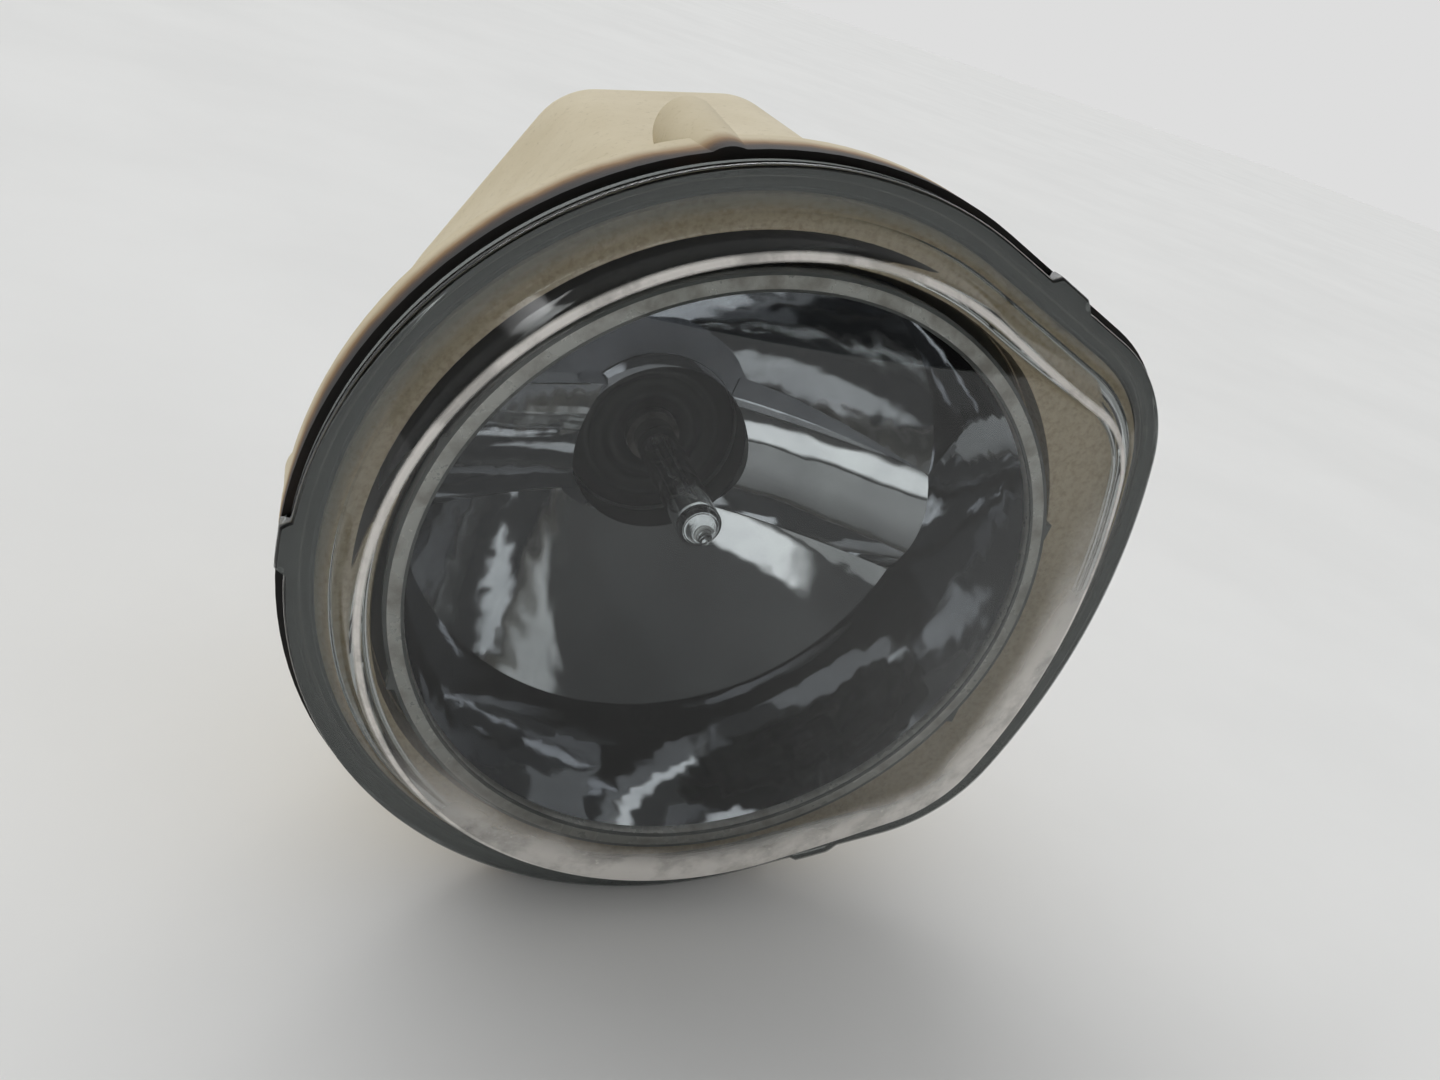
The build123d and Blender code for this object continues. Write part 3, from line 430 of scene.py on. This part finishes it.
mirror_parts["lip_bead"] = lip_bead()
for piece in mirror_parts.values():
    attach(piece, "mirror_unit")
print("mirror pieces", len(mirror_parts))


# %% [markdown]
# ## The bulb
# Quartz capsule with a pinched tip, a coil on the focus, two support wires, a collar
# and a black carrier with a stepped throat.

# %% bulb
CAPSULE_R, WALL = 4.15, 0.7
SEAT_F, TIP_F = -62.0, -18.0
FOOT_RISE, BORE_RISE = 1.05, 2.0       # foot of the quartz and floor of its bore, over the seat


def capsule():
    """Profiles of the capsule: outside up to the tip, and the bore from its top down."""
    outside = [(CAPSULE_R, SEAT_F + 1.2), (CAPSULE_R, -26.2), (CAPSULE_R * 0.97, -24.2),
             (CAPSULE_R * 0.82, -22.4), (CAPSULE_R * 0.5, -21.0), (1.5, -20.2), (1.15, -19.4),
             (1.2, -18.9), (0.9, -18.3), (0.4, TIP_F), (0.0, TIP_F)]
    inside = [(0.0, -21.9), (1.2, -22.1), (CAPSULE_R * 0.6, -23.2), (CAPSULE_R - WALL, -25.6),
              (CAPSULE_R - WALL, SEAT_F + BORE_RISE)]
    return np.array(outside), np.array(inside)


def refine(points, factor=4):
    """Catmull-Rom spline through profile points."""
    padded = np.vstack([2 * points[0] - points[1], points, 2 * points[-1] - points[-2]])
    rows = []
    for i in range(1, len(padded) - 2):
        t = np.linspace(0, 1, factor, endpoint=False)[:, None]
        a, b, c, d = padded[i - 1:i + 3]
        rows.append(0.5 * (2 * b + (c - a) * t + (2 * a - 5 * b + 4 * c - d) * t**2
                           + (3 * b - a - 3 * c + d) * t**3))
    return np.vstack(rows + [points[-1:]])


def quartz():
    """Outside of the capsule and its bore, as two closed skins."""
    outside, inside = capsule()
    outside = refine(outside)
    outside[:, 0] = np.clip(outside[:, 0], 0, CAPSULE_R)
    outside[-1, 0] = 0
    inside = refine(inside)
    inside[:, 0] = np.clip(inside[:, 0], 0, CAPSULE_R - WALL)
    profile = np.vstack([[(0.0, SEAT_F + FOOT_RISE)], [(CAPSULE_R, SEAT_F + FOOT_RISE)], outside])
    body = outward(turned("quartz_outside", profile, columns=64, poles=(True, True)))
    core = np.vstack([[(0.0, SEAT_F + BORE_RISE)], inside[::-1]])
    return body, outward(turned("quartz_bore", core, columns=64, poles=(True, True)))


quartz_body, quartz_bore = quartz()
quartz_bore.data.flip_normals()        # the bore's faces point into the hollow, out of the quartz
for piece in (quartz_body, quartz_bore):
    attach(piece, "mirror_unit")
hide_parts("bulb_glass")

# stepped throat of the carrier, as (radius, forward) pairs
carrier_profile = [(5.6, -61.9), (5.6, -60.6), (7.4, -60.2), (7.6, -59.5), (9.6, -59.4), (9.8, -60.6),
                   (12.6, -60.8), (12.9, -59.5), (14.6, -59.4), (15.0, -60.3), (17.7, -60.4), (17.9, -61.9)]
carrier = outward(turned("carrier_ring", carrier_profile, columns=96, wrap_rows=True))
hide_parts("bulb_carrier")
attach(carrier, "mirror_unit")


# %% [markdown]
# ## Materials
# Small builders keep the graphs short: `graph` starts a material and `link` joins
# sockets.  Shared effects are node groups that give masks and colours.

# %% material helpers
def rgb(red, green, blue):
    """Colour from 0-255 display values."""
    value = np.array([red, green, blue]) / 255
    linear = np.where(value <= 0.04045, value / 12.92, ((value + 0.055) / 1.055) ** 2.4)
    return (*[float(v) for v in linear], 1.0)


class Graph:
    """A node tree with short ways to add and join nodes."""

    def __init__(self, tree):
        self.tree = tree

    def add(self, kind, **values):
        """New node; keyword arguments set properties, or sockets by name."""
        node = self.tree.nodes.new(kind)
        for key, value in values.items():
            if hasattr(node, key):
                setattr(node, key, value)
            else:
                node.inputs[key.replace("_", " ")].default_value = value
        return node

    def link(self, source, target):
        """Join an output socket to an input socket."""
        self.tree.links.new(source, target)

    def noise(self, vector, scale, detail=4.0, roughness=0.55):
        """Noise value at a scale in features per metre."""
        node = self.add("ShaderNodeTexNoise", Scale=scale, Detail=detail, Roughness=roughness)
        self.link(vector, node.inputs["Vector"])
        return node.outputs["Fac"]

    def ramp(self, source, low, high, start=0.0, end=1.0):
        """Value mapped smoothly from low..high to start..end."""
        node = self.add("ShaderNodeMapRange", interpolation_type="SMOOTHSTEP")
        for key, value in (("From Min", low), ("From Max", high), ("To Min", start), ("To Max", end)):
            node.inputs[key].default_value = value
        self.link(source, node.inputs["Value"])
        return node.outputs["Result"]

    def math(self, operation, a, b=None):
        """Arithmetic on sockets or numbers."""
        node = self.add("ShaderNodeMath", operation=operation)
        for slot, value in zip(node.inputs, (a, b)):
            if value is None:
                continue
            if isinstance(value, (int, float)):
                slot.default_value = value
            else:
                self.link(value, slot)
        return node.outputs[0]

    def mix(self, factor, a, b):
        """Colour mix; a and b are sockets or colours."""
        node = self.add("ShaderNodeMix", data_type="RGBA")
        for slot, value in ((node.inputs[0], factor), (node.inputs[6], a), (node.inputs[7], b)):
            if isinstance(value, (int, float, tuple)):
                slot.default_value = value
            else:
                self.link(value, slot)
        return node.outputs[2]

    def bump(self, height, distance, strength=1.0):
        """Normal from a height value."""
        node = self.add("ShaderNodeBump", Distance=distance, Strength=strength)
        self.link(height, node.inputs["Height"])
        return node.outputs["Normal"]


def graph(name, **constants):
    """New material: its Graph, its Principled shader and object coordinates."""
    material = bpy.data.materials.new(name)
    material.use_nodes = True
    tree = material.node_tree
    tree.nodes.clear()
    g = Graph(tree)
    shader = g.add("ShaderNodeBsdfPrincipled")
    for key, value in constants.items():
        shader.inputs[key.replace("_", " ")].default_value = value
    output = g.add("ShaderNodeOutputMaterial")
    g.link(shader.outputs[0], output.inputs["Surface"])
    coords = g.add("ShaderNodeTexCoord").outputs["Object"]
    return material, g, shader, coords


def patches_group():
    """Group: noise turned into a soft-edged mask, and two colours mixed by it."""
    tree = bpy.data.node_groups.new("patches", "ShaderNodeTree")
    for name, kind in (("Vector", "NodeSocketVector"), ("Scale", "NodeSocketFloat"),
                       ("Low", "NodeSocketFloat"), ("High", "NodeSocketFloat"),
                       ("Clean", "NodeSocketColor"), ("Worn", "NodeSocketColor")):
        tree.interface.new_socket(name, in_out="INPUT", socket_type=kind)
    for name, kind in (("Mask", "NodeSocketFloat"), ("Color", "NodeSocketColor")):
        tree.interface.new_socket(name, in_out="OUTPUT", socket_type=kind)
    g = Graph(tree)
    given, result = g.add("NodeGroupInput"), g.add("NodeGroupOutput")
    noise = g.add("ShaderNodeTexNoise", Detail=5.0, Roughness=0.6)
    soft = g.add("ShaderNodeMapRange", interpolation_type="SMOOTHSTEP")
    blend = g.add("ShaderNodeMix", data_type="RGBA")
    for source, target in ((given.outputs["Vector"], noise.inputs["Vector"]),
                           (given.outputs["Scale"], noise.inputs["Scale"]),
                           (noise.outputs["Fac"], soft.inputs["Value"]),
                           (given.outputs["Low"], soft.inputs["From Min"]),
                           (given.outputs["High"], soft.inputs["From Max"]),
                           (soft.outputs["Result"], blend.inputs[0]),
                           (given.outputs["Clean"], blend.inputs[6]),
                           (given.outputs["Worn"], blend.inputs[7]),
                           (soft.outputs["Result"], result.inputs["Mask"]),
                           (blend.outputs[2], result.inputs["Color"])):
        g.link(source, target)
    return tree


def grain_group():
    """Group: fine moulding grain as a height for a bump."""
    tree = bpy.data.node_groups.new("grain", "ShaderNodeTree")
    tree.interface.new_socket("Vector", in_out="INPUT", socket_type="NodeSocketVector")
    tree.interface.new_socket("Scale", in_out="INPUT", socket_type="NodeSocketFloat")
    tree.interface.new_socket("Height", in_out="OUTPUT", socket_type="NodeSocketFloat")
    g = Graph(tree)
    given, result = g.add("NodeGroupInput"), g.add("NodeGroupOutput")
    noise = g.add("ShaderNodeTexNoise", Detail=6.0, Roughness=0.7)
    g.link(given.outputs["Vector"], noise.inputs["Vector"])
    g.link(given.outputs["Scale"], noise.inputs["Scale"])
    g.link(noise.outputs["Fac"], result.inputs["Height"])
    return tree


PATCHES, GRAIN = patches_group(), grain_group()
print("node groups", [group.name for group in bpy.data.node_groups])


def patches(g, coords, scale, low, high, clean=None, worn=None):
    """Place the patches group: its Mask, or its Color when two colours are given."""
    node = g.add("ShaderNodeGroup", node_tree=PATCHES, Scale=scale, Low=low, High=high)
    g.link(coords, node.inputs["Vector"])
    if clean is None:
        return node.outputs["Mask"]
    node.inputs["Clean"].default_value, node.inputs["Worn"].default_value = clean, worn
    return node.outputs["Color"]


def grain(g, coords, scale):
    """Place the grain group: its Height."""
    node = g.add("ShaderNodeGroup", node_tree=GRAIN, Scale=scale)
    g.link(coords, node.inputs["Vector"])
    return node.outputs["Height"]


def dress(material, *names):
    """Give CAD nodes or pieces one material."""
    for name in names:
        obj = nodes.get(name) or bpy.data.objects[name]
        obj.data.materials.clear()
        obj.data.materials.append(material)


# %% [markdown]
# ## Housing compound
# The real shell is a pressed compound: cream, faintly mottled, and stained brown and
# black by heat and sealer close to the lens.  The stain could be painted, but it follows
# the distance behind the lip, so a few soft steps along that distance give it on every
# side.  The deck that shows through the glass gets its own dusty beige.

# %% housing compound
def outline_distance(g, coords):
    """Rough distance of a point outside the lens outline, in metres.

    The least of the distances outside the round part, outside the soft corners (both at
    once, by folding z) and outside the side's arc, which counts only between the corners.
    """
    fold = g.add("ShaderNodeVectorMath", operation="MULTIPLY")
    fold.inputs[1].default_value = (1, 0, 1)
    g.link(coords, fold.inputs[0])
    whole = g.add("ShaderNodeVectorMath", operation="ABSOLUTE")
    g.link(fold.outputs[0], whole.inputs[0])
    split, upper = g.add("ShaderNodeSeparateXYZ"), g.add("ShaderNodeSeparateXYZ")
    g.link(coords, split.inputs[0])
    g.link(whole.outputs[0], upper.inputs[0])
    folded = g.add("ShaderNodeCombineXYZ")
    g.link(split.outputs["X"], folded.inputs["X"])
    g.link(upper.outputs["Z"], folded.inputs["Z"])
    corner, side_r, side_mid, side_turn = side_arc(FOOT_BULGE)
    circles = (((0, 0, 0), MAIN_R), ((corner[0] * MM, 0, corner[1] * MM), CORNER_R),
               ((side_mid * MM, 0, 0), side_r))
    gaps = []
    for centre, radius in circles:
        gap = g.add("ShaderNodeVectorMath", operation="DISTANCE")
        g.link(folded.outputs[0], gap.inputs[0])
        gap.inputs[1].default_value = centre
        gaps.append(g.math("SUBTRACT", gap.outputs["Value"], radius * MM))
    least = g.math("MINIMUM", gaps[0], gaps[1])
    past = g.math("SUBTRACT", upper.outputs["Z"], side_r * math.sin(side_turn) * MM)
    behind = g.math("MULTIPLY", split.outputs["X"], -1.0)
    middle = g.math("MAXIMUM", g.math("MAXIMUM", gaps[2], past), behind)
    return g.math("MINIMUM", least, middle), split.outputs["Y"]


def compound():
    """Cream moulded compound, mottled, stained brown and black towards the lens."""
    material, g, shader, coords = graph("cream_compound", Roughness=0.62, Specular_IOR_Level=0.35)
    fine = grain(g, coords, 900.0)
    cream = patches(g, coords, 28.0, 0.3, 0.7, rgb(204, 193, 166), rgb(190, 177, 146))
    cream = g.mix(g.ramp(fine, 0.55, 0.75, 0.0, 0.35), cream, rgb(120, 102, 72))
    outside, along = outline_distance(g, coords)
    depth = g.math("SUBTRACT", along, LIP_Y)
    wander = g.math("MULTIPLY", g.math("SUBTRACT", g.noise(coords, 60.0, 5.0), 0.5), 0.005)
    depth = g.math("ADD", depth, wander)
    golden = g.mix(g.ramp(depth, 0.0075, 0.0115), rgb(128, 92, 40), cream)
    brown = g.mix(g.ramp(depth, 0.0060, 0.0090), rgb(52, 32, 14), golden)
    dark = g.mix(g.ramp(depth, 0.0045, 0.0070), rgb(16, 12, 9), brown)
    dusty = g.mix(g.ramp(fine, 0.4, 0.7), rgb(246, 226, 196), rgb(220, 194, 158))
    deck = g.mix(g.ramp(outside, 0.0055, 0.0085), dusty, dark)
    deck = g.mix(g.ramp(depth, 0.0098, 0.0102), deck, dark)
    g.link(deck, shader.inputs["Base Color"])
    g.link(g.bump(fine, 0.00006), shader.inputs["Normal"])
    return material


dress(compound(), "housing")


# %% [markdown]
# ## Glass, dust and painted light
# Pressed glass is clear with faint smears; road dust lies on its rounded front edge and low
# side, where the pale front edge is also a painted highlight, and the grey on the flange is a
# painted reflection.  Dust mixed into the glass shader would cloud the clear part too, so it
# lies on a thin sheet of its own whose Alpha is a mask.

# %% glass
def glass():
    """Soda glass with a green-grey body and faint smears."""
    material, g, shader, coords = graph("soda_glass", IOR=1.43)
    shader.inputs["Transmission Weight"].default_value = 1.0
    smear = patches(g, coords, 60.0, 0.55, 0.8)
    g.link(g.math("MULTIPLY", smear, 0.02), shader.inputs["Roughness"])
    g.link(patches(g, coords, 60.0, 0.3, 0.8, rgb(250, 252, 251), rgb(243, 246, 244)),
           shader.inputs["Base Color"])
    absorb = g.add("ShaderNodeVolumeAbsorption", Density=30.0)
    absorb.inputs["Color"].default_value = rgb(190, 204, 198)
    output = next(n for n in g.tree.nodes if n.type == "OUTPUT_MATERIAL")
    g.link(absorb.outputs[0], output.inputs["Volume"])
    return material


def film():
    """Dust on the glass, pale on the front edge and the low side; the pale front edge is also a painted
    highlight, and the grey on the flange is a painted reflection.
    """
    material, g, shader, coords = graph("lens_dust_and_painted_light", Roughness=0.6, Specular_IOR_Level=0.2)
    outside = g.add("ShaderNodeAttribute", attribute_name=PAST_EDGE).outputs["Fac"]
    split = g.add("ShaderNodeSeparateXYZ")
    g.link(coords, split.inputs[0])
    speck = patches(g, coords, 800.0, 0.46, 0.72)
    cloud = patches(g, coords, 90.0, 0.32, 0.62)
    forward = g.math("SUBTRACT", LIP_Y, split.outputs["Y"])
    low_side = g.math("SUBTRACT", g.math("MULTIPLY", split.outputs["X"], 0.55), split.outputs["Z"])
    side = g.ramp(low_side, -0.01, 0.055)
    band = g.math("MULTIPLY", g.ramp(outside, -0.0115, -0.0035), g.ramp(forward, 0.001, 0.005))
    dusty = g.math("MULTIPLY", g.math("MULTIPLY", band, side), g.ramp(cloud, 0.0, 1.0, 0.42, 0.78))
    dusty = g.math("MAXIMUM", dusty, g.math("MULTIPLY", g.math("MULTIPLY", band, side),
                                            g.math("MULTIPLY", speck, 0.75)))
    # Pale band on the rounded front edge: partly dust, partly a painted highlight of the edge.
    edge_dust_and_highlight = g.math("MULTIPLY", g.ramp(outside, -0.0012, -0.0007),
                   g.ramp(outside, -0.0003, 0.0003, 1.0, 0.0))
    edge_dust_and_highlight = g.math("MULTIPLY", g.math("MULTIPLY", edge_dust_and_highlight, g.ramp(forward, 0.002, 0.005)),
                   g.ramp(cloud, 0.0, 1.0, 0.45, 0.95))
    # Painted reflection: a grey film on the flange stands in for the bright surroundings that the glass
    # flange would reflect.
    foot = g.math("MULTIPLY", g.ramp(outside, 0.0032, 0.0055), 0.34)
    alpha = g.math("MAXIMUM", g.math("MAXIMUM", dusty, edge_dust_and_highlight), foot)
    g.link(g.math("MINIMUM", alpha, 0.9), shader.inputs["Alpha"])
    # Pale for the dust and the painted edge highlight, grey on the flange for the painted reflection.
    colour = g.mix(g.ramp(outside, 0.002, 0.005), rgb(236, 232, 226), rgb(132, 136, 134))
    g.link(colour, shader.inputs["Base Color"])
    return material


dress(glass(), "lens_glass")
dress(film(), "lens_film")


# %% [markdown]
# ## Mirror, lip and quartz
# A coating of metal vapour gives a nearly perfect mirror, with slight waves from the
# moulding under it.  A bump of long noise bends the reflections the same way.  The lip
# is the bare satin edge of that moulding.

# %% mirror, lip and bulb
def mirror():
    """Vacuum-coated mirror with a breath of haze and fine dust."""
    material, g, shader, coords = graph("vacuum_mirror", Metallic=1.0)
    g.link(patches(g, coords, 40.0, 0.35, 0.75, rgb(214, 215, 218), rgb(190, 191, 195)),
           shader.inputs["Base Color"])
    g.link(g.math("MULTIPLY", patches(g, coords, 40.0, 0.5, 0.9), 0.06), shader.inputs["Roughness"])
    ripple = g.noise(coords, 75.0, 2.0)
    g.link(g.bump(g.math("ADD", g.math("MULTIPLY", grain(g, coords, 2500.0), 0.01), ripple), 0.00022),
           shader.inputs["Normal"])
    return material


def satin_lip():
    """Pale satin rim of the bowl."""
    material, g, shader, coords = graph("satin_lip", Metallic=0.35)
    g.link(patches(g, coords, 220.0, 0.4, 0.7, rgb(240, 236, 230), rgb(204, 196, 188)),
           shader.inputs["Base Color"])
    g.link(g.ramp(patches(g, coords, 220.0, 0.3, 0.8), 0.0, 1.0, 0.25, 0.5), shader.inputs["Roughness"])
    return material


def quartz_material():
    """Clear quartz."""
    material, g, shader, coords = graph("quartz", IOR=1.5, Specular_IOR_Level=0.9)
    shader.inputs["Transmission Weight"].default_value = 1.0
    shader.inputs["Base Color"].default_value = (0.97, 0.98, 0.98, 1)
    g.link(g.math("MULTIPLY", patches(g, coords, 300.0, 0.5, 0.8), 0.06), shader.inputs["Roughness"])
    return material


coat = mirror()
dress(coat, *[name for name in mirror_parts if name != "lip_bead"])
dress(satin_lip(), "lip_bead")
dress(quartz_material(), "quartz_outside", "quartz_bore")


# %% [markdown]
# ## Plain parts
# Plastic, rubber and metal parts share two builders.  Each takes a clean tone and a
# dusty or dull one, mixed in patches, so no part is one flat colour.

# %% plain parts
def moulded(name, colour, dusty, roughness=0.5, fineness=700.0):
    """Moulded plastic or rubber: two close tones, grain in the bump, dust on top."""
    material, g, shader, coords = graph(name)
    g.link(patches(g, coords, 90.0, 0.45, 0.8, colour, dusty), shader.inputs["Base Color"])
    g.link(g.ramp(patches(g, coords, 90.0, 0.3, 0.8), 0.0, 1.0, roughness, roughness + 0.2),
           shader.inputs["Roughness"])
    g.link(g.bump(grain(g, coords, fineness), 0.00003), shader.inputs["Normal"])
    return material


def metal(name, bright, dull, roughness=0.25):
    """Bare or plated metal with dull patches."""
    material, g, shader, coords = graph(name, Metallic=1.0)
    g.link(patches(g, coords, 160.0, 0.4, 0.7, bright, dull), shader.inputs["Base Color"])
    g.link(g.ramp(patches(g, coords, 160.0, 0.3, 0.8), 0.0, 1.0, roughness, roughness + 0.25),
           shader.inputs["Roughness"])
    return material


dress(moulded("black_plastic", rgb(26, 26, 27), rgb(64, 62, 58)), "rear_cap", "adjuster_knob",
      "connector_socket")
dress(moulded("black_rubber", rgb(20, 20, 20), rgb(48, 46, 43), 0.65), "cap_gasket", "vent_elbow",
      "tower_plugs")
dress(moulded("bond_bead", rgb(22, 17, 13), rgb(62, 44, 26), 0.4), "lens_sealant")
dress(moulded("nylon", rgb(214, 208, 190), rgb(184, 174, 150), 0.4), "pivot_sockets", "adjuster_bush",
      "adjuster_nut")
dress(moulded("grey_moulding", rgb(120, 120, 118), rgb(96, 95, 92), 0.5), "reflector")
dress(moulded("felt_plug", rgb(196, 194, 186), rgb(150, 146, 138), 0.8, 2500.0), "vent_filter")
dress(moulded("black_ceramic", rgb(24, 23, 23), rgb(52, 50, 48), 0.35), "bulb_insulator")
# Painted shade: the carrier is much darker than the other black plastic, its own black plus the shade deep
# in the throat.
dress(moulded("throat_black_painted_shade", rgb(4, 4, 4), rgb(14, 14, 15), 0.35), "carrier_ring")
dress(metal("steel", rgb(180, 180, 178), rgb(128, 124, 118)), "bulb_clip", "clip_pin", "pivot_studs",
      "adjuster_ring", "bulb_leads")
dress(metal("dark_steel", rgb(96, 92, 88), rgb(60, 56, 52), 0.35), "bulb_base", "mounting_inserts")
dress(metal("tungsten", rgb(120, 118, 116), rgb(90, 88, 86), 0.3), "bulb_filament")
dress(metal("zinc_gold", rgb(196, 176, 122), rgb(150, 130, 92), 0.3), "adjuster_screw")
dress(metal("tinned_brass", rgb(206, 190, 150), rgb(164, 148, 112), 0.3), "bulb_terminal",
      "connector_terminals")

# %% [markdown]
# ## Floor
# A pale laminate table under the lowest point of the lamp, wide enough to have no edge
# in sight.  Seen through the glass it is painted a darker grey, as painted shade.

# %% floor
FLOOR_HALF = 6.0
TABLE_PAINTED_SHADE_THROUGH_GLASS = rgb(158, 158, 158)      # painted shade: the table painted darker grey for rays that have passed through glass


def floor_piece():
    """Large pale table under the lamp, with painted shade where it is seen through glass."""
    z = cad_low.z - 0.0002
    corners = np.array([(-1, -1), (1, -1), (1, 1), (-1, 1)]) * FLOOR_HALF
    mesh = bpy.data.meshes.new("table_top")
    mesh.from_pydata([(x, y, z) for x, y in corners], [], [(0, 1, 2, 3)])
    obj = bpy.data.objects.new("table_top", mesh)
    bpy.context.scene.collection.objects.link(obj)
    material, g, shader, coords = graph("table_laminate", Roughness=0.9, Specular_IOR_Level=0.1)
    pale = patches(g, coords, 6.0, 0.2, 0.8, rgb(229, 229, 227), rgb(223, 223, 221))
    through = g.math("MINIMUM", g.add("ShaderNodeLightPath").outputs["Transmission Depth"], 1.0)
    # Painted shade: the table turns to the darker grey after a pass through glass.
    g.link(g.mix(through, pale, TABLE_PAINTED_SHADE_THROUGH_GLASS), shader.inputs["Base Color"])
    obj.data.materials.append(material)
    return obj


floor_piece()


# %% [markdown]
# ## Light
# A mirror shows whatever stands around it, so the world is a dim room with rectangular
# soft boxes.  Each one is aimed where a curve of the bowl or a bar looks, and gives one
# bright streak there.

# %% world
def soft_box(g, direction, aim, wide, high, strength, feather=0.25):
    """Rectangular soft light in the world.

    A direction is projected on the plane that faces aim, at unit distance; the box is
    bright where both plane coordinates are inside its half sizes, with feathered edges.
    """
    aim = Vector(aim).normalized()
    right = aim.cross(Vector((0, 0, 1))).normalized()

    def along(axis):
        node = g.add("ShaderNodeVectorMath", operation="DOT_PRODUCT")
        g.link(direction, node.inputs[0])
        node.inputs[1].default_value = axis
        return node.outputs["Value"]

    def within(axis, half):
        plane = g.math("ABSOLUTE", g.math("DIVIDE", along(axis), ahead))
        return g.ramp(plane, half * (1 - feather), half * (1 + feather), 1.0, 0.0)

    ahead = g.math("MAXIMUM", along(aim), 0.001)      # a small floor keeps the division safe
    inside = g.math("MULTIPLY", within(right, wide), within(right.cross(aim), high))
    return g.math("MULTIPLY", inside, strength)


BOXES = (              # aim, half width, half height, strength
    ((-0.30, 0.62, 0.80), 0.80, 0.09, 6.0),
    ((-0.38, -0.91, 0.14), 0.30, 0.11, 1.0),
    ((-0.42, -0.53, 0.74), 0.11, 0.10, 0.65),
    ((-0.72, -0.45, 0.53), 0.06, 0.12, 1.0),
    ((0.74, -0.50, 0.40), 0.10, 0.28, 0.45),
)
ROOM, BEHIND, BACKDROP, FILL = 0.05, 0.88, 0.73, 0.40


def studio():
    """Dim room with soft boxes, lighter behind the lamp.

    Matt surfaces get an even fill as well, and the camera sees a pale backdrop.
    """
    world = bpy.data.worlds.new("studio")
    bpy.context.scene.world = world
    world.use_nodes = True
    g = Graph(world.node_tree)
    g.tree.nodes.clear()
    direction = g.add("ShaderNodeTexCoord").outputs["Generated"]
    split = g.add("ShaderNodeSeparateXYZ")
    g.link(direction, split.inputs[0])
    total = g.math("ADD", g.ramp(split.outputs["Y"], -0.2, 0.9, 0.0, BEHIND), ROOM)
    for aim, wide, high, strength in BOXES:
        total = g.math("ADD", total, soft_box(g, direction, aim, wide, high, strength))
    path = g.add("ShaderNodeLightPath")
    scattered = g.math("MINIMUM", path.outputs["Diffuse Depth"], 1.0)
    sky = g.ramp(split.outputs["Z"], -0.3, 0.6, 0.0, FILL)
    total = g.math("ADD", total, g.math("MULTIPLY", scattered, sky))
    light = g.add("ShaderNodeBackground")
    light.inputs["Color"].default_value = (0.985, 0.99, 1.0, 1)
    g.link(total, light.inputs["Strength"])
    wall = g.add("ShaderNodeBackground", Strength=BACKDROP)
    wall.inputs["Color"].default_value = (1.0, 1.0, 1.0, 1)
    seen = path.outputs["Is Camera Ray"]
    mix = g.add("ShaderNodeMixShader")
    g.link(seen, mix.inputs[0])
    g.link(light.outputs[0], mix.inputs[1])
    g.link(wall.outputs[0], mix.inputs[2])
    g.link(mix.outputs[0], g.add("ShaderNodeOutputWorld").inputs["Surface"])


studio()
bpy.context.scene.view_settings.view_transform = "Standard"

# %% [markdown]
# ## Camera
# The lamp is seen from above its left side, with the camera tilted.

# %% camera
CAMERA_AT = (-0.0740, LIP_Y - 0.1375, 0.0887)
AZIMUTH, ELEVATION, ROLL = 26.23, 27.03, 19.45
LENS_MM = 27.5


def camera():
    """Camera by place, heading, dip and roll."""
    a, e, r = (math.radians(v) for v in (AZIMUTH, ELEVATION, ROLL))
    forward = Vector((math.sin(a) * math.cos(e), math.cos(a) * math.cos(e), -math.sin(e)))
    level = forward.cross(Vector((0, 0, 1))).normalized()
    upright = level.cross(forward)
    right = math.cos(r) * level + math.sin(r) * upright
    up = right.cross(forward)
    data = bpy.data.cameras.new("camera")
    data.lens, data.sensor_width = LENS_MM, 36.0
    data.clip_start = 0.005
    obj = bpy.data.objects.new("camera", data)
    turn = Matrix((right, up, -forward)).transposed().to_4x4()
    obj.matrix_world = Matrix.Translation(CAMERA_AT) @ turn
    bpy.context.scene.collection.objects.link(obj)
    bpy.context.scene.camera = obj


camera()
